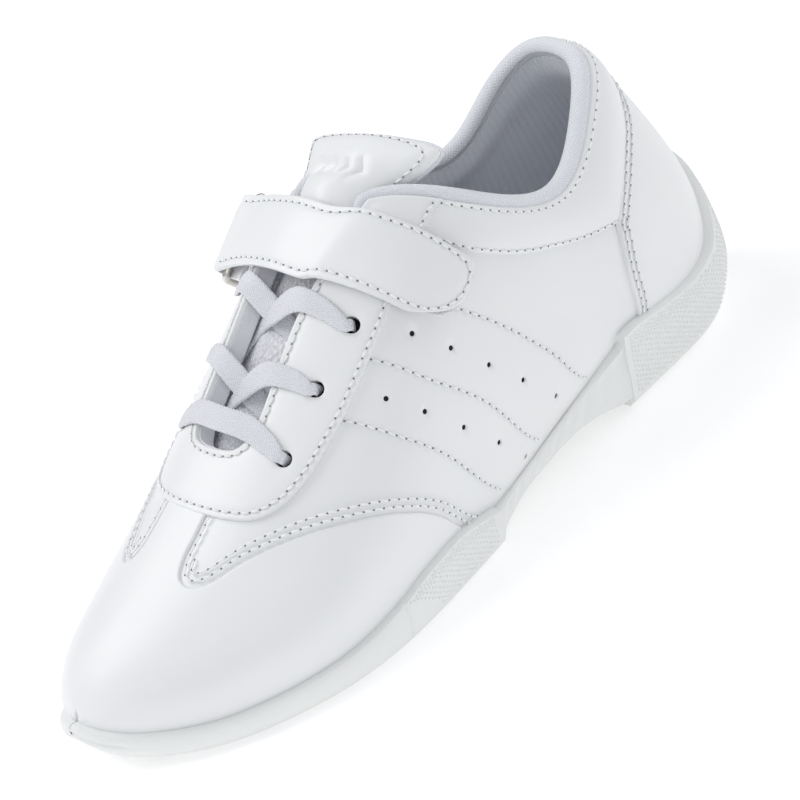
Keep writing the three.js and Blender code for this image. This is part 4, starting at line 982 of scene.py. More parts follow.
# ---------------------------------------------------------------- rubber sole
def outline_at(p, side, d, z):
    """The foot line moved d outwards at a height z."""
    e = 0.002
    pc = np.clip(p, 0.001 + e, LAST - 0.001 - e)
    q, a, b = skin(p, 0, side), skin(pc + e, 0, side), skin(pc - e, 0, side)
    n = unit(np.stack([(a[..., 1] - b[..., 1]) * -side, (a[..., 0] - b[..., 0]) * side], -1))
    n = np.where((p < 1e-6)[..., None], [-1.0, 0], n)
    n = np.where((p > LAST - 1e-6)[..., None], [1.0, 0], n)
    d = np.broadcast_to(np.asarray(d, float), p.shape)
    z = np.broadcast_to(np.asarray(z, float), p.shape)
    return np.stack([q[..., 0] + n[..., 0] * d, q[..., 1] + n[..., 1] * d, z], -1)


def reach(p, level):
    """Height up each section at which the upper reaches a level."""
    t = np.linspace(0, 0.9, 181)
    up = skin(p[:, None], t[None], 1)[..., 2]
    return np.array([np.interp(z, row, t) for z, row in zip(level, up)])


def table(points):
    """A value along the shoe, read along straight lines."""
    x, y = np.array(points, float).T
    return lambda p: np.interp(p, x, y)


def soft_table(points):
    """A table read along a smooth curve."""
    line = through(points, 12)
    return lambda p: np.interp(p, line[:, 0], line[:, 1])


def ease(s):
    """0 to 1 with level ends."""
    return np.clip(s, 0, 1) ** 2 * (3 - 2 * np.clip(s, 0, 1))


HEEL_FRONT, BALL_REAR = 3.12, 5.25
pad_bottom = table([(0, 0.6), (0.4, 0), (9, 0), (9.5, 0.7), (10, 2.2), (10.5, 5), (11, 10)])
bridge_bottom = soft_table(
    [(3, 1.2), (3.2, 2.6), (3.6, 6.4), (4, 8), (4.5, 7.3), (5, 4.6), (5.2, 2.6), (5.4, 1.4)])
rim_heel = soft_table(
    [(0, 45), (0.35, 42), (0.8, 33.5), (1.2, 27), (1.6, 24), (2, 23.5), (2.6, 26), (3, 28.3), (3.2, 28)])
rim_bridge = soft_table(
    [(3, 27), (3.3, 22.5), (3.7, 18), (4, 16), (4.5, 13.5), (5, 12), (5.4, 11.4)])
rim_ball = soft_table(
    [(5.2, 12.5), (5.6, 15.5), (6, 17.5), (6.5, 16.4), (7, 13.6), (8, 10), (9, 9), (10, 11.5),
     (10.5, 14.2), (10.75, 15.8), (10.92, 16.7), (11, 16.8)])


def floor_level(p):
    """Upper face of the rubber under the foot."""
    arch = np.minimum(ease((p - 2.4) / 0.5), ease((5.8 - p) / 0.45))
    return (pad_bottom(p) + RUBBER_FLOOR) * (1 - arch) + (bridge_bottom(p) + BRIDGE_WALL) * arch


def rubber_unit(name, nodes, stops, bottom, rim, wall, edge, tread, wall_shape=None):
    """A cupped stretch of sole: tread, swelling side walls, rounded lip and hollow inside."""
    p = np.array(stops, float)
    level = rim(p)
    z = bottom(p)
    floor = floor_level(p)
    t = reach(p, level)
    halves = []
    wall, edge = wall(p), edge(p)
    for side in (1, -1):
        tip = (p > LAST - 1e-6)[:, None]

        def on(f, off):
            off = off + 0 * p
            spot = on_skin(p, t * f, side, off)
            return np.where(tip, skin(p, 0 * p, side) + np.stack([off, 0 * p, 0.9 * f + 0 * p], -1), spot)

        mid = on(0.5, wall + edge)
        under = outline_at(p, side, wall * 0.6, z + 0.12 * (mid[:, 2] - z))
        low = outline_at(p, side, wall + edge * 0.6, z + 0.55 * (mid[:, 2] - z))
        top = on(1, wall)
        flank = np.stack([through(row, 6) for row in np.stack([under, low, mid, top], 1)])
        if wall_shape is not None:
            out = on_skin(p, t * 0.5, side, 1) - on_skin(p, t * 0.5, side, 0)
            k = np.linspace(0, 1, flank.shape[1])
            flank = flank + out[:, None] * wall_shape(p[:, None], k[None], side)[..., None]
        lip = np.stack([on(1, wall * 0.86) + [0, 0, 0.35], on(1, wall * 0.6) + [0, 0, 0.5],
                        on(1, GAP + 0.5) + [0, 0, 0.25], on(0.97, -0.3)], 1)
        inner = np.stack([on(0.5, -0.3), outline_at(p, side, GAP, FOOT_UP(p)),
                          outline_at(p, side, GAP, floor)], 1)
        sole_edge = outline_at(p, side, wall * 0.1 - 1.2, z)
        halves.append((sole_edge, flank, lip, inner))
    (edge_a, flank_a, lip_a, in_a), (edge_b, flank_b, lip_b, in_b) = halves
    s = np.linspace(0, 1, 46)[None, :, None]
    under = edge_b[:, None] * (1 - s) + edge_a[:, None] * s
    under[..., 2] += tread(under[..., 0], under[..., 1], s[..., 0])
    ring = np.concatenate([under, flank_a, lip_a, in_a, in_b[:, ::-1], lip_b[:, ::-1], flank_b[:, ::-1]], 1)
    n, m = ring.shape[:2]
    faces = grid_faces(n, m, wrap_columns=True, flip=True)
    faces += [list(range(m)), list(range((n - 1) * m, n * m))[::-1]]
    uv = np.stack([ring[..., 0], ring[..., 1] + ring[..., 2]], -1).reshape(-1, 2) / UV_UNIT
    obj = mesh_piece(name, "shoe", ring.reshape(-1, 3), faces, rubber, uv, sharp=40)
    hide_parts(*nodes)
    return flank_a, flank_b


def studs(name, flanks, spacing, radius, height, keep):
    """Small domes in a diagonal grid over the flank of a rubber unit."""
    points, faces = [], []
    count = 0
    turn = np.linspace(0, 2 * np.pi, 8, endpoint=False)[:, None]
    round_it = [(w, (w + 1) % 8) for w in range(8)]
    for flank, side in zip(flanks, (1, -1)):
        n, m = flank.shape[:2]
        run = lengths(flank[:, m // 2])
        tall = np.linalg.norm(np.diff(flank, axis=1), axis=-1).sum(1)
        for a, along in enumerate(np.arange(spacing, run[-1] - spacing, spacing * 0.8)):
            i = np.interp(along, run, np.arange(n))
            k = int(min(i, n - 2))
            h = np.interp(i, np.arange(n), tall)
            rows = np.arange(spacing * (0.9 if a % 2 else 1.4), h - spacing * 0.8, spacing)
            for up in rows:
                f = up / h
                if not keep(along / run[-1], f):
                    continue
                j = f * (m - 1)
                q = int(min(j, m - 2))
                s, t = i - k, j - q
                below = flank[k, q] * (1 - s) + flank[k + 1, q] * s
                above = flank[k, q + 1] * (1 - s) + flank[k + 1, q + 1] * s
                c = below * (1 - t) + above * t
                along_wall = unit(flank[k + 1, q] - flank[k, q])
                up_wall = unit(flank[k, q + 1] - flank[k, q])
                out = unit(np.cross(along_wall, up_wall)) * side
                if out @ (c - [c[0], 0, c[2]]) < 0 and abs(c[1]) > 6:
                    out = -out
                disc = (along_wall * np.cos(turn) + up_wall * np.sin(turn)) * radius
                base = c + disc - out * 0.1
                ring = c + disc * 0.6 + out * height * 0.75
                points += [base, ring, (c + out * height)[None]]
                faces += [[count + w, count + x, count + 8 + x, count + 8 + w] for w, x in round_it]
                faces += [[count + 8 + w, count + 8 + x, count + 16] for w, x in round_it]
                count += 17
    obj = mesh_piece(name, "shoe", np.vstack(points), faces, rubber, sharp=80)


def build_sole():
    """Heel pad, forefoot pad and the bridge between them."""
    def tread(a, w, s):
        """Chevron grooves, leaving a plain border."""
        border = np.clip(np.minimum(s, 1 - s) * 2 * 12, 0, 1)
        wave = np.abs(np.sin(np.pi * (a + 0.55 * np.abs(w)) / 7.0))
        return 0.9 * border * np.clip((wave - 0.8) / 0.12, 0, 1)

    def plain(a, w, s):
        return 0 * a * w * s

    heel_wall = table([(0, 4.4), (1.4, 4.6), (2.4, WALL), (HEEL_FRONT, WALL)])
    heel_bulge = table([(0, 3.0), (1.4, 2.6), (2.4, 1.0), (HEEL_FRONT, 1.0)])
    bridge_wall = table([(HEEL_FRONT, WALL - 0.2), (3.7, BRIDGE_WALL), (4.8, BRIDGE_WALL), (5.3, WALL - 0.4)])

    def ball_shape(p, k, side):
        toe = -0.55 * np.exp(-(((k - 0.5) / 0.05) ** 2)) * ease((p - 10.2) / 0.3) * (side > 0)
        notch = -0.5 * np.exp(-(((p - 6.98) / 0.018) ** 2)) * (k > 0.1)
        return toe + notch

    stops = np.concatenate([np.linspace(0, 0.9, 16), np.linspace(0.98, HEEL_FRONT, 40)])
    heel = rubber_unit("heel_rubber", ["outsole_heel"], stops, pad_bottom, rim_heel, heel_wall, heel_bulge,
                       tread)
    stops = np.unique(np.concatenate([np.linspace(BALL_REAR, 10, 120), np.linspace(6.9, 7.06, 13),
                                      np.linspace(10, LAST, 46)]))
    ball = rubber_unit("forefoot_rubber", ["outsole_forefoot"], stops, pad_bottom, rim_ball,
                       lambda p: WALL + 0 * p, lambda p: 0.5 + 0 * p, tread, ball_shape)

    def ribs(p, k, side):
        """Slanted ribs on the side wall of the bridge."""
        return 0.22 * np.sin(2 * np.pi * (p * 4.2 + k * 0.9)) * np.sin(np.pi * k)

    stops = np.linspace(HEEL_FRONT - 0.02, BALL_REAR + 0.02, 90)
    rubber_unit("arch_rubber", ["arch_bridge"], stops, bridge_bottom, rim_bridge, bridge_wall,
                lambda p: 0.2 + 0 * p, plain, ribs)
    studs("heel_studs", heel, 1.75, 0.56, 0.45, lambda s, f: s > 0.04)
    studs("forefoot_studs", ball, 1.6, 0.5, 0.4, lambda s, f: 0.02 < s < 0.31 - 0.12 * (1 - f))


# ---------------------------------------------------------------- insides
def grid_piece(name, body, nodes, top, bottom, material):
    """A closed sheet between two grids of points."""
    n, m = top.shape[:2]
    faces = grid_faces(n, m, flip=True)
    faces += [[i + n * m for i in f[::-1]] for f in faces]
    border = [i * m for i in range(n)] + [(n - 1) * m + j for j in range(1, m)]
    border += [i * m + m - 1 for i in range(n - 2, -1, -1)] + list(range(m - 2, 0, -1))
    faces += [[a, b, b + n * m, a + n * m] for a, b in zip(border, border[1:] + border[:1])]
    u = lengths(top[:, m // 2])[:, None] + np.zeros((n, m))
    v = np.concatenate([np.zeros((n, 1)), np.cumsum(np.linalg.norm(np.diff(top, axis=1), axis=-1), 1)], 1)
    uv = np.stack([u, v], -1).reshape(-1, 2) / UV_UNIT
    points = np.concatenate([top.reshape(-1, 3), bottom.reshape(-1, 3)])
    obj = mesh_piece(name, body, points, faces, material, np.vstack([uv, uv]))
    if nodes:
        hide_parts(*nodes)
    return obj


def build_lining():
    """Ribbed knit inside the collar, swollen by its foam, and the plain lining of the front."""
    r, t = np.meshgrid(np.linspace(-4.97, 4.97, 420), np.linspace(0.02, 0.965, 56), indexing="ij")
    c = np.stack([r, t], -1)
    base, normal = AROUND.at(c), AROUND.normal(c)
    run = lengths(base[:, 40])[:, None]
    rise = np.exp(-(((t - 0.87) / 0.075) ** 2))
    heel = ease((4.4 - np.abs(r)) / 0.8)
    swell = 1.5 * rise * heel
    ribs = 0.16 * np.sin(2 * np.pi * run / 2.6) * np.clip((t - 0.2) / 0.2, 0, 1)
    inner = base + normal * (LINING_IN - swell + ribs)[..., None]
    outer = base + normal * (LINING_OUT + 0 * t)[..., None]
    pad = grid_piece("collar_lining_knit", "shoe", ["collar_lining"], inner, outer, lining_knit)
    outline = [
        [(5.03, 0.985), (8, 0.985), (10.5, 0.985)],
        [(10.5, 0.985), (10.5, 0), (10.5, -0.985)],
        [(10.5, -0.985), (8, -0.985), (5.03, -0.985)],
        [(5.03, -0.985), (5.03, -0.14)],
        [(5.03, -0.14), (6.2, -0.14), (7.2, -0.13), (7.4, -0.08), (7.44, 0), (7.4, 0.08), (7.2, 0.13),
         (6.2, 0.14), (5.03, 0.14)],
        [(5.03, 0.14), (5.03, 0.985)],
    ]
    panel("vamp_lining_knit", "shoe", ["vamp_lining"], OVER, outline, LINING_OUT, LINING_IN, lining_knit,
          step=3.5, roll=0.3, holes=eyelet_holes([1, -1]), edge_step=2.0)


def build_binding():
    """Knit roll on the topline, thick round the heel and slim where it dives under the strap."""
    p = np.linspace(0, 4.95, 150)
    dive = [(5.06, 0.975), (5.14, 0.945), (5.24, 0.918), (5.4, 0.895), (5.6, 0.876)]
    halves = []
    for side in (1, -1):
        front = ease((p - 3.2) / 1.3)
        rim = on_skin(p, 0.985 + 0 * p, side, LINING_IN / 2 - 0.2 + 1.3 * front)
        rim[:, 2] += 0.3 + 0.5 * front
        low = np.array([on_skin(a, t, side, 0.2) for a, t in dive])
        halves.append(np.vstack([rim, through(np.vstack([rim[-1:], low]), 8)[1:]]))
    path = np.vstack([halves[1][::-1], halves[0][1:]])
    n = len(path)
    s = np.abs(np.arange(n) - n // 2) / len(p)
    radius = np.interp(s, [0, 0.45, 0.72, 0.92, 1.1], [2.9, 2.9, 2.6, 2.1, 1.7])
    obj = tube("topline_binding", "shoe", path, radius, knit, sides=20)
    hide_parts("collar_binding")


def build_insole():
    """Cloth-faced footbed with a raised rim at the heel."""
    p, s = np.meshgrid(np.linspace(0.05, 10.4, 150), np.linspace(-1, 1, 40), indexing="ij")
    edge = -LINING_IN + 1.0
    left = outline_at(p[:, 0], 1, -edge, FOOT_UP(p[:, 0]) + 1.9)
    right = outline_at(p[:, 0], -1, -edge, FOOT_UP(p[:, 0]) + 1.9)
    k = ((s + 1) / 2)[..., None]
    low = right[:, None] * (1 - k) + left[:, None] * k
    cup = 0.9 * np.abs(s) ** 4 * ease((3.4 - p) / 1.5)
    drop = 0.6 * np.clip((np.abs(s) - 0.96) / 0.04, 0, 1) ** 2
    top = low + np.stack([0 * p, 0 * p, 3.2 + cup - drop], -1)
    pad = grid_piece("sockliner_cloth", "shoe", ["sockliner"], top, low, insole_cloth)


def build_painted_hole_shade():
    """Near-black discs inside the vents and eyelets: painted shade in the holes."""
    points, faces = [], []
    vents = [(p, side * v) for side in (1, -1) for row in VENTS for p, v in row]
    spots = [(spot, PERFORATION - 0.02, -0.35) for spot in vents]
    spots += [(spot, radius + 0.3, -3.2) for spot, radius in eyelet_holes([1, -1])]
    for spot, radius, depth in spots:
        ring = circle_on(OVER, spot, radius)
        normal = OVER.normal(ring)
        start = len(points)
        points += [*(OVER.at(ring) + normal * depth), *(OVER.at(ring) + normal * (depth - 0.25))]
        n = len(ring)
        faces.append(list(range(start, start + n)))
        faces.append(list(range(start + n, start + 2 * n))[::-1])
        for i in range(n):
            nxt = (i + 1) % n
            faces.append([start + i, start + nxt, start + n + nxt, start + n + i])
    obj = mesh_piece("painted_hole_shade", "shoe", np.array(points), faces, hole_shade_black)


def build_throat_edges():
    """Cut edge of the padding, seen along the open throat."""
    line = curve_on(OVER, there_and_back(STAY_INNER))
    line = respace(OVER, line, 1.0)
    step = inward(OVER, line, ring=False)
    inner, outer = line + step * 0.5, line - step * 0.4
    depth = np.linspace(-4.4, 0.25, 8)
    normal = OVER.normal(line)
    swell = 0.35 * np.sin(np.pi * np.linspace(0, 1, 8))
    face = np.stack([OVER.at(inner) + normal * d + unit(OVER.at(inner) - OVER.at(outer)) * s
                     for d, s in zip(depth, swell)], 1)
    back = np.stack([OVER.at(outer) + normal * d for d in depth], 1)
    grid_piece("throat_edge_foam", "shoe", [], face, back, foam_edge)


# ---------------------------------------------------------------- tongue
TONGUE_OUT = -8.8       # middle of the mesh, off the outer face of the upper
MESH_CELL = (2.8, 1.9)  # one diamond of the mesh, along and across
MESH_DEPTH = 0.75
MESH_STEP = 0.34        # between points of the modelled weave
MESH_THICK = 3.0
TONGUE_SEAM = -3.6      # from the top face of the padded end down to its seam
TONGUE_BACK = -7.2      # and down to its lining
TONGUE_NECK = (
    ((-9, -16, 91), (-7.5, -1, 99.5), (-9, 17, 91)),
    ((-16, -11.5, 97.5), (-14, 0, 103.8), (-16, 12.5, 97.5)),
)
TONGUE_TOP = (
    ((-6, -14, 99), (-6, -1, 103), (-8, 14, 93)),
    ((-12, -19, 104.3), (-13, -3, 109), (-17, 13.5, 99.5)),
    ((-19.5, -21.5, 107.7), (-20, -1, 112), (-25, 17, 103.5)),
    ((-25, -23.5, 110.8), (-27.5, 0.5, 114.5), (-32, 21, 108)),
    ((-29, -25, 113), (-34, 0.5, 116), (-38.5, 24.5, 112)),
)


def tongue_row(left, middle, right, count=8):
    """A row across the tongue, rounded over its middle."""
    q = np.linspace(-1, 1, count + 1)
    edge = np.where((q < 0)[:, None], left, right)
    s = np.abs(q)[:, None]
    row = np.asarray(middle) + (edge - middle) * s
    row[:, 2] = middle[2] + (edge[:, 2] - middle[2]) * s[:, 0] ** 1.55
    return row


def smooth_grid(rows, per, across=4):
    """Rows made into a fine grid that is smooth both ways."""
    rows = np.stack(rows)
    down = np.stack([through(rows[:, j], per) for j in range(rows.shape[1])], 1)
    return np.stack([through(row, across) for row in down])


def build_tongue():
    """Open mesh under the lace, and the padded leather end above it."""
    rows = []
    for p, t in ((7.75, 0.86), (7.3, 0.82), (6.8, 0.78), (6.3, 0.76), (5.85, 0.76), (5.5, 0.77)):
        middle = (skin(p, 1, 1) + skin(p, 1, -1)) / 2 + skin_normal(p, 1, 1) * TONGUE_OUT
        rows.append(tongue_row(on_skin(p, t, -1, TONGUE_OUT), middle, on_skin(p, t, 1, TONGUE_OUT)))
    top_rows = [tongue_row(*(place(*q) for q in row)) for row in TONGUE_TOP]
    lower_end = [tongue_row(*(place(*q) for q in row)) for row in TONGUE_NECK]
    patch = Patch(smooth_grid(rows + lower_end, 8, 4))
    n, m = (int(x / MESH_STEP) for x in patch.scale)
    u, v = np.meshgrid(np.linspace(0, 1, n), np.linspace(0, 1, m), indexing="ij")
    c = np.stack([u, v], -1)
    base, normal = patch.at(c), patch.normal(c)
    if np.median(normal[..., 2]) < 0:
        normal = -normal
    rows, columns = u * patch.scale[0] / MESH_CELL[0], v * patch.scale[1] / MESH_CELL[1]
    one = np.abs(np.sin(np.pi * (rows + columns)))
    two = np.abs(np.sin(np.pi * (rows - columns)))
    edge = np.sqrt(np.clip(np.minimum(v, 1 - v) * 14, 0, 1))
    crowned = 1.5 * np.sin(np.pi * v) ** 2 * np.clip((1 - u) * 4, 0, 1)
    cells = MESH_DEPTH * np.clip((np.minimum(one, two) - 0.3) / 0.35, 0, 1)
    face = base + normal * (0.9 * edge + 0.9 + crowned - cells)[..., None]
    back = base - normal * MESH_THICK
    pad = grid_piece("tongue_mesh_weave", "shoe", ["tongue_mesh"], face, back, mesh_yarn)

    flap_rows = smooth_grid(top_rows, 12, 5)
    chart = Patch(flap_rows)
    if np.median(chart.normal(np.full((1, 2), 0.6))[:, 2]) < 0:
        chart.flip = -1
    outline = [
        [(0.02, 0.12), (0.02, 0.5), (0.02, 0.88)],
        [(0.02, 0.88), (0.3, 0.93), (0.6, 0.99), (0.85, 1.0)],
        [(0.85, 1.0), (0.95, 0.97), (0.995, 0.86)],
        [(0.995, 0.86), (1.0, 0.5), (0.995, 0.14)],
        [(0.995, 0.14), (0.95, 0.03), (0.85, 0.0)],
        [(0.85, 0.0), (0.6, 0.01), (0.3, 0.07), (0.02, 0.12)],
    ]

    def pinched(d):
        """How far the padding falls away towards its seam."""
        return 3.2 * fallen(d, 5.5)

    def thinner(uv):
        """The padding runs out where the tongue goes under the laces."""
        return np.clip((0.42 - uv[:, 0]) / 0.3, 0, 1)

    def crown(uv, d):
        return 0.5 * np.clip(d / 12, 0, 1) - pinched(d) + 1.2 * thinner(uv)

    def underside(uv, d):
        return -pinched(d) - 2.6 * thinner(uv)

    bars = [np.array([(0.4, c - 0.05), (0.5, c + 0.02), (0.6, c - 0.05)]) for c in (0.3, 0.42, 0.54, 0.66)]
    edge_line = curve_on(chart, [(0.2, 0.15), (0.6, 0.075), (0.86, 0.085), (0.925, 0.2), (0.935, 0.5),
                                 (0.925, 0.8), (0.86, 0.915), (0.6, 0.925), (0.2, 0.85)])
    marks = [(respace(chart, bar, 1.2), 0.85, 0.95) for bar in bars]
    marks.append((respace(chart, edge_line, 1.4), 0.3, 0.8))
    cover = panel("tongue_top_cover", None, ["tongue_cover"], chart, outline, TONGUE_SEAM, 0.0, leather,
                  step=1.3, roll=0.6, puff=crown, grooves=marks)
    under = panel("tongue_top_underside", None, ["tongue_lining", "tongue_foam"], chart, outline,
                  TONGUE_SEAM, TONGUE_BACK, knit, step=1.6, roll=0.6, puff=underside)
    line = respace(chart, edge_line, 0.8)
    rim = np.vstack([curve_on(chart, part)[:-1] for part in outline])
    height = crown(line, distance(chart.at(line), closed(chart.at(rim))))
    normal = chart.normal(line)
    sewn = (chart.at(line) + normal * (height - 0.12)[:, None], normal)
    stitches = sew("tongue_top_thread", None, [sewn], thread, needle_hole_shade)
    loop = respace(chart, closed(rim), 1.2)
    seam3 = chart.at(loop) + chart.normal(loop) * TONGUE_SEAM
    piping = tube("tongue_top_seam", None, seam3[:-1], 0.75, knit, sides=10, loop=True)
    start = to_frame(chart.at(np.array([0.14, 0.5])))
    end = to_frame(chart.at(np.array([0.5, 0.5])))
    for piece in (cover, under, stitches, piping):
        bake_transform(piece)


# ---------------------------------------------------------------- strap, ring and keeper
BAR = unit(place(19, -1, -14.5))
RING_DOWN = unit(place(-9.4, -3.2, -11.9))
RING_FOOT = RING_TOP + RING_DOWN * RING_HEIGHT
INWARD = place(0.1, 0.88, 0.42)
INWARD = unit(INWARD - BAR * (BAR @ INWARD))
RISING = unit(np.cross(BAR, INWARD))
RISING = RISING if RISING[2] > 0 else -RISING
RING_AXIS = unit(np.cross(BAR, RING_DOWN))
LOOP_IN = RING_WIRE / 2 + 0.5
STRAP_BOTTOM = 3.2
SHOULDER = 1 / 3


def build_strap():
    """Strap from its rounded tip over the instep and back under itself through the ring."""
    def spot(p, t):
        return on_skin(p, t, 1, STRAP_BOTTOM)

    def across(a, b, c):
        """A smooth row of the strap through its two edges and its middle."""
        return (1 - s) * (1 - 2 * s) * a + 4 * s * (1 - s) * b + s * (2 * s - 1) * c

    rows = [
        [spot(4.54, 0.655), spot(4.84, 0.59), spot(5.17, 0.6)],
        [spot(4.47, 0.705), spot(4.9, 0.65), spot(5.34, 0.635)],
        [spot(4.6, 0.765), spot(5.03, 0.72), spot(5.49, 0.695)],
        [spot(4.8, 0.83), spot(5.2, 0.795), spot(5.64, 0.765)],
        [spot(5.03, 0.9), spot(5.4, 0.875), spot(5.8, 0.85)],
        [place(-7.5, 8, 107.3), place(2.4, 8, 101.7), place(11.8, 8, 95.6)],
        [place(-6.8, -4, 108), place(3, -4, 102.5), place(12.3, -4, 96.2)],
        [place(-7, -16, 106), place(2.6, -16, 100.4), place(11.6, -16, 94.2)],
        [place(-7.6, -26, 103), place(1.9, -26, 97.3), place(11, -26, 90.8)],
        [RING_TOP + BAR * k * STRAP_WIDTH / 2 + RISING * LOOP_IN + INWARD * 0.3 for k in (-1, 0, 1)],
    ]
    s = np.linspace(0, 1, 13)[:, None]
    flat = smooth_grid([across(*row) for row in rows], 9, 1)
    fold = []
    for angle in np.radians(np.linspace(105, 262, 14)):
        fold.append(INWARD * LOOP_IN * math.cos(angle) + RISING * LOOP_IN * math.sin(angle))
    fold += [INWARD * x - RISING * 1.75 for x in (1.5, 3.5, 6, 8.5)]
    half = np.linspace(-1, 1, flat.shape[1])[:, None] * STRAP_WIDTH / 2
    turned = np.stack([RING_TOP + BAR * half + f for f in fold])
    grid = np.vstack([flat, turned])
    total = len(grid) - 1
    ring_row = (len(flat) - 1) / total
    shoulder = ring_row * SHOULDER
    chart = Patch(grid)
    if chart.normal(np.array([[ring_row * 0.7, 0.5]]))[0, 2] < 0:
        chart.flip = -1
    tip = 8 / total
    outline = [
        [(0.0, 0.62), (0.0, 0.5), (0.0, 0.38)],
        [(0.0, 0.38), (tip * 0.22, 0.12), (tip * 0.9, 0.0)],
        [(tip * 0.9, 0.0), (0.5, 0.0)],
        [(0.5, 0.0), (1.0, 0.0)],
        [(1.0, 0.0), (1.0, 1.0)],
        [(1.0, 1.0), (0.5, 1.0)],
        [(0.5, 1.0), (tip * 0.9, 1.0)],
        [(tip * 0.9, 1.0), (tip * 0.22, 0.88), (0.0, 0.62)],
    ]

    def turn_in(uv):
        return np.clip((uv[:, 0] - ring_row) / (4 / total), 0, 1)

    def crown(uv, d):
        return 0.15 * np.clip(d / 7, 0, 1) - 1.0 * turn_in(uv)

    e = 2.3 / STRAP_WIDTH
    one_side = [(ring_row * 0.97, e), (0.5, e), (tip * 1.1, e), (tip * 0.5, 0.17), (tip * 0.3, 0.32)]
    row_edge = one_side + [(tip * 0.26, 0.5)] + [(x, 1 - y) for x, y in reversed(one_side)]
    line = respace(chart, curve_on(chart, row_edge), 0.8)
    strap = panel("strap_leather", None, ["strap", "strap_tip", "strap_loop"], chart, outline, 0.95, 2.6,
                  leather, step=1.5, roll=0.55, puff=crown,
                  grooves=[(line[::2], 0.3, 0.85)], under=lambda uv: 0.95 - 0.85 * turn_in(uv))
    normal = chart.normal(line)
    sewn = sew("strap_thread", None, [(chart.at(line) + normal * 2.55, normal)], thread, needle_hole_shade)
    mark = chart.at(np.array([[shoulder + 2.5 / total, 0.5], [shoulder - 2.5 / total, 0.5]]))
    for piece in (strap, sewn):
        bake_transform(piece)
    lining = [(shoulder + 1 / total, 0.04), (ring_row - 0.5 / total, 0.04)]
    box = [lining, [lining[1], (lining[1][0], 0.96)], [(lining[1][0], 0.96), (lining[0][0], 0.96)],
           [(lining[0][0], 0.96), lining[0]]]
    panel("strap_lining_web", "strap", ["strap_lining"], chart, box, 0.9, 0.0, knit,
          roll=0.3)
    a, b = 6 / total, shoulder - 3 / total
    patch = [[(a, 0.2), (b, 0.12)], [(b, 0.12), (b, 0.88)], [(b, 0.88), (a, 0.8)], [(a, 0.8), (a, 0.2)]]
    panel("hook_patch_tape", "strap_tip", ["hook_patch"], chart, patch, 0.9, -0.75, hook_tape,
          roll=0.2)

    loops = [
        [(4.46, 0.34), (4.6, 0.385), (4.8, 0.42), (5.0, 0.42), (5.12, 0.4)],
        [(5.12, 0.4), (5.25, 0.37)],
        [(5.25, 0.37), (4.86, 0.35), (4.45, 0.3)],
        [(4.45, 0.3), (4.46, 0.34)],
    ]
    panel("loop_patch_tape", "shoe", ["loop_patch"], OVER, loops, 0.1, 1.15, hook_tape,
          step=0.9, roll=0.25)


def build_ring():
    """Bent wire ring and the web that holds it to the inner side."""
    corner, half = 2.5, STRAP_WIDTH / 2 + 1.2
    path = []
    for x, y, start in ((half - corner, corner, -90), (half - corner, RING_HEIGHT - corner, 0),
                        (corner - half, RING_HEIGHT - corner, 90), (corner - half, corner, 180)):
        for angle in np.radians(np.linspace(start, start + 90, 9)):
            wide = BAR * (x + corner * math.cos(angle))
            path.append(RING_TOP + wide + RING_DOWN * (y + corner * math.sin(angle)))
    obj = tube("ring_wire", "ring", np.array(path), RING_WIRE / 2, nickel, sides=18, loop=True,
               up=RING_AXIS)
    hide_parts("ring")

    thick, half = 1.2, 9.0
    out = RING_AXIS if RING_AXIS[1] < 0 else -RING_AXIS
    radius = RING_WIRE / 2 + 0.5 + thick / 2
    foot = [on_skin(p, t, -1, thick / 2 + 1) for p, t in ((4.42, 0.44), (4.58, 0.5), (4.75, 0.555))]
    foot.append(RING_FOOT + RING_DOWN * 6 - out * radius)
    angles = np.radians(np.linspace(180, -55, 20))
    round_bar = [RING_FOOT - RING_DOWN * radius * math.sin(a) + out * radius * math.cos(a) for a in angles]
    line = np.vstack([through(np.array(foot), 8), round_bar])
    grid = line[:, None] + (BAR * half) * np.linspace(-1, 1, 9)[None, :, None]
    chart = Patch(grid)
    box = [[(0, 0), (0, 1)], [(0, 1), (1, 1)], [(1, 1), (1, 0)], [(1, 0), (0, 0)]]
    panel("ring_keeper_web", "shoe", ["ring_keeper"], chart, box, -thick / 2, thick / 2, knit,
          step=1.2, roll=0.35)


# ---------------------------------------------------------------- lace
THROAT = 0.135
LACE_TOP = 2.0 + LACE_THICK / 2 + 0.15
LACE_LOW = LINING_IN - 0.6 - LACE_THICK / 2
NARROW, WIDE, BEND = 1.7, LACE_WIDTH / 2, 1.6


class Hole:
    """An eyelet with the leather's face and direction at it."""

    def __init__(self, row, side):
        self.p, self.t = EYELETS[row]
        self.side = side
        self.q = side * (1 - self.t)
        self.base = skin(self.p, self.t, side)
        self.normal = skin_normal(self.p, self.t, side)


def near_hole(h, target, under, sign):
    """Knots of the lace where it goes through an eyelet."""
    way = target - h.base
    way = unit(way - h.normal * (way @ h.normal))
    off, inner = (LACE_LOW, 1) if under else (LACE_TOP, -1)
    width = np.cross(way, h.normal) * sign
    spots = ((0.05, BEND + 0.5, NARROW), (BEND * 0.3, BEND * 0.35, NARROW), (BEND, 0, NARROW + 0.2))
    return [(h.base + way * x + h.normal * (off + z * inner), width, half) for x, z, half in spots]


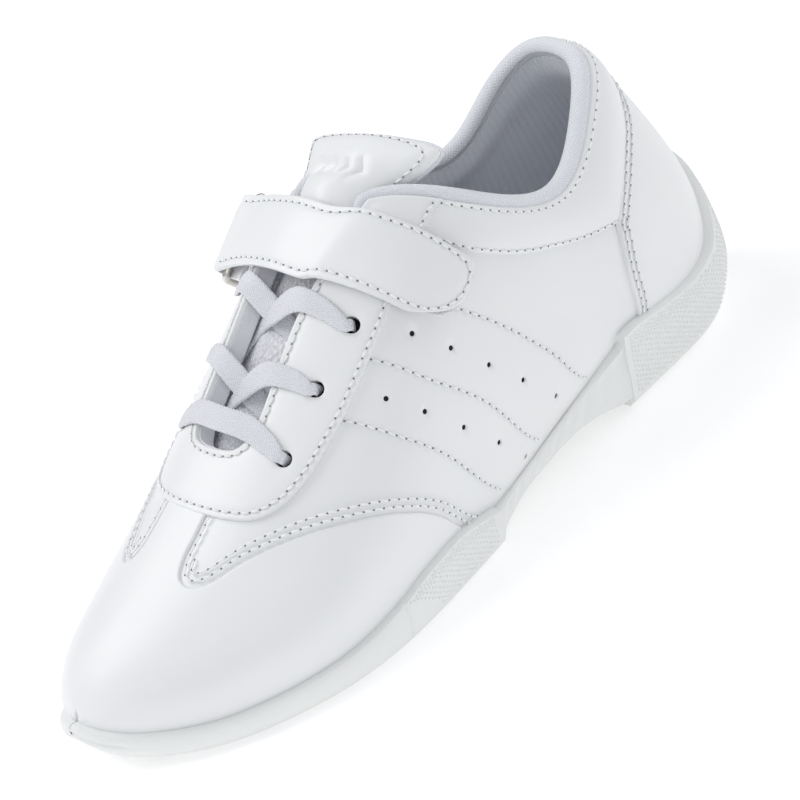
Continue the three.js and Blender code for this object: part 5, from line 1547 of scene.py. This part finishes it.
def lace_leg(a, b, under_a, under_b, bump, sign):
    """Knots of one leg between two eyelets, over or under the leather at each."""
    way = unit(b.base - a.base)

    def stop(q, under, half):
        p = a.p + (b.p - a.p) * (q - a.q) / (b.q - a.q)
        side = -1 if q < 0 else 1
        n = skin_normal(p, 1 - abs(q), side)
        return (on_skin(p, 1 - abs(q), side, LACE_LOW if under else LACE_TOP), np.cross(way, n) * sign, half)

    knots = near_hole(a, b.base, under_a, sign)
    knots.append(stop(a.side * (THROAT + 0.065), under_a, NARROW + 0.5 if under_a else WIDE - 0.6))
    knots.append(stop(a.side * (THROAT - 0.01), under_a, WIDE - 1 if under_a else WIDE))
    far = stop(b.side * (THROAT - 0.01), under_b, WIDE - 1 if under_b else WIDE)
    n = skin_normal((a.p + b.p) / 2, 1, 1)
    crest = (knots[-1][0] + far[0]) / 2 + n * bump
    knots += [(crest, np.cross(way, n) * sign, WIDE), far]
    knots.append(stop(b.side * (THROAT + 0.065), under_b, NARROW + 0.5 if under_b else WIDE - 0.6))
    return knots + near_hole(b, a.base, under_b, -sign)[::-1]


def lace_end(h, target, sign):
    """Knots of an end that is tucked away inside."""
    knots = near_hole(h, target, True, sign)
    point, width, half = knots[2]
    knots[2] = (point - h.normal * 0.55, width, half)
    far = on_skin(h.p - 0.04, 1 - (THROAT + 0.06), h.side, LACE_LOW - 0.7)
    return knots + [(far, np.cross(unit(target - h.base), h.normal) * sign, NARROW)]


def build_lace():
    """One flat lace through all six eyelets."""
    l1, l2, l3 = (Hole(k, 1) for k in range(3))
    m1, m2, m3 = (Hole(k, -1) for k in range(3))
    knots = lace_end(l1, m2.base, 1)[::-1]
    knots += lace_leg(l1, m2, False, True, 1.4, 1)
    knots += lace_leg(m2, l3, False, True, -0.4, -1)
    knots += lace_leg(l3, m3, False, False, 2, 1)
    knots += lace_leg(m3, l2, True, False, 1.4, -1)
    knots += lace_leg(l2, m1, True, False, -0.4, 1)
    knots += lace_end(m1, l2.base, -1)
    points, widths, halves = (np.array(x) for x in zip(*knots))
    per = 8
    path = through(points, per)
    at = np.arange(len(path)) / per
    index = np.arange(len(points))
    width = np.stack([np.interp(at, index, widths[:, k]) for k in range(3)], -1)
    half = np.interp(at, index, halves)
    s = lengths(path)
    even = np.linspace(0, s[-1], int(s[-1] / 0.55))
    path, width = (
        np.stack([np.interp(even, s, x[:, k]) for k in range(3)], -1) for x in (path, width)
    )
    half = np.interp(even, s, half)
    way = unit(np.gradient(path, axis=0))
    width = unit(width - way * np.sum(width * way, 1, keepdims=True))
    over = np.cross(way, width)
    x = np.linspace(-1, 1, 13)
    thick = LACE_THICK / 2 * np.sqrt(1 - 0.85 * np.abs(x) ** 4) + 0.05
    plait = 0.09 * np.sin(2 * np.pi * (even[:, None] / 1.9 + np.abs(x)[None] * 1.3))
    top = path[:, None] + width[:, None] * (x[None, :, None] * half[:, None, None])
    upper = top + over[:, None] * (thick[None] + plait)[..., None]
    lower = top - over[:, None] * (thick[None] + plait)[:, :, None]
    ring = np.concatenate([upper, lower[:, ::-1]], 1)
    n, m = ring.shape[:2]
    faces = grid_faces(n, m, wrap_columns=True)
    faces += [list(range(m))[::-1], list(range((n - 1) * m, n * m))]
    across = np.concatenate([x, x[::-1]])[None] * half[:, None] / UV_UNIT
    uv = np.stack([np.repeat(even[:, None] / UV_UNIT, m, 1), across], -1).reshape(-1, 2)
    obj = mesh_piece("lace_braid", "shoe", ring.reshape(-1, 3), faces, lace_yarn, uv, sharp=70)
    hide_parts("lace")


# ---------------------------------------------------------------- layers kept from the model
def finish_hidden_layers():
    """Finishes for the solids that stay as they are inside the shoe."""
    finishes = {
        "midsole": foam_hidden,
        "shank_plate": shank_metal,
        "insole_board": board_fibre,
        "toe_puff": board_fibre,
        "heel_stiffener": board_fibre,
        "collar_foam": foam_hidden,
        "interlining_lateral": foam_grey,
        "interlining_medial": foam_grey,
    }
    for name, material in finishes.items():
        mesh = frame["nodes"][name].data
        mesh.materials.clear()
        mesh.materials.append(material)


# ---------------------------------------------------------------- view and light
def build_camera():
    """Long lens from above the toe's outer side, rolled so that the shoe lies across the view."""
    azimuth, elevation, roll = 0.5556, 0.5832, 0.3812    # radians
    away, sensor, lens = 1334.3, 36, 201.2778            # millimetres
    aim_left, aim_low = 0.0040645, 0.0244721             # tangents of the small turns off the form's zero
    ca, sa = math.cos(azimuth), math.sin(azimuth)
    ce, se = math.cos(elevation), math.sin(elevation)
    toward = np.array([sa * ce, ca * ce, se])
    right = np.array([-ca, sa, 0])
    up = np.array([-sa * se, -ca * se, ce])
    across = math.cos(roll) * right - math.sin(roll) * up
    over = math.sin(roll) * right + math.cos(roll) * up
    back = unit(toward + across * aim_left - over * aim_low)
    x = unit(across - back * (across @ back))
    y = np.cross(back, x)

    def turn(v):
        """From (along, side, up) to the frame's axes."""
        return (v[1], -v[0], v[2])

    camera = bpy.data.objects.new("camera", bpy.data.cameras.new("camera"))
    bpy.context.scene.collection.objects.link(camera)
    columns = np.array([turn(x), turn(y), turn(back)]).T
    matrix = Matrix(columns.tolist()).to_4x4()
    matrix.translation = Vector(to_frame(toward * away).tolist())
    camera.matrix_world = matrix
    camera.data.lens = lens
    camera.data.sensor_width = sensor
    camera.data.clip_end = 10
    bpy.context.scene.camera = camera


def area_light(name, place_m, aim, size, power):
    """A soft square light that faces a point."""
    light = bpy.data.lights.new(name, "AREA")
    light.size = size
    light.energy = power
    obj = bpy.data.objects.new(name, light)
    bpy.context.scene.collection.objects.link(obj)
    obj.location = place_m
    obj.rotation_euler = (Vector(place_m) - Vector(aim)).to_track_quat("Z", "Y").to_euler()


def build_studio():
    """Even soft light on a pale floor."""
    bpy.context.scene.view_settings.view_transform = "Standard"
    world = bpy.data.worlds.new("studio")
    bpy.context.scene.world = world
    world.use_nodes = True
    world.node_tree.nodes["Background"].inputs["Color"].default_value = (0.95, 0.97, 1, 1)
    world.node_tree.nodes["Background"].inputs["Strength"].default_value = 0.5
    aim = (0, 0, 0.05)
    area_light("key", (-0.6, -0.5, 1.1), aim, 0.9, 8.5)
    area_light("side", (1.1, -0.6, 0.8), aim, 0.9, 2.5)
    area_light("back", (0.3, 1.1, 0.8), aim, 0.9, 3.5)
    floor_mesh = bpy.data.meshes.new("floor")
    r = 3.0
    floor_mesh.from_pydata([(-r, -r, 0), (r, -r, 0), (r, r, 0), (-r, r, 0)], [], [(0, 1, 2, 3)])
    floor = bpy.data.objects.new("floor", floor_mesh)
    floor.location.z = -0.0002
    bpy.context.scene.collection.objects.link(floor)
    paper = surface("pale_paper", (0.9, 0.9, 0.9), (0.88, 0.88, 0.88), 0.9, cells=300, depth=0.02,
                    object_space=True)
    shader = paper.node_tree.nodes["Principled BSDF"]
    shader.inputs["Emission Color"].default_value = (1, 1, 1, 1)
    shader.inputs["Emission Strength"].default_value = 0.3
    floor_mesh.materials.append(paper)


build_camera()
build_studio()
build_upper()
build_sole()
build_lining()
build_binding()
build_insole()
build_painted_hole_shade()
build_throat_edges()
build_tongue()
build_strap()
build_ring()
build_lace()
finish_hidden_layers()
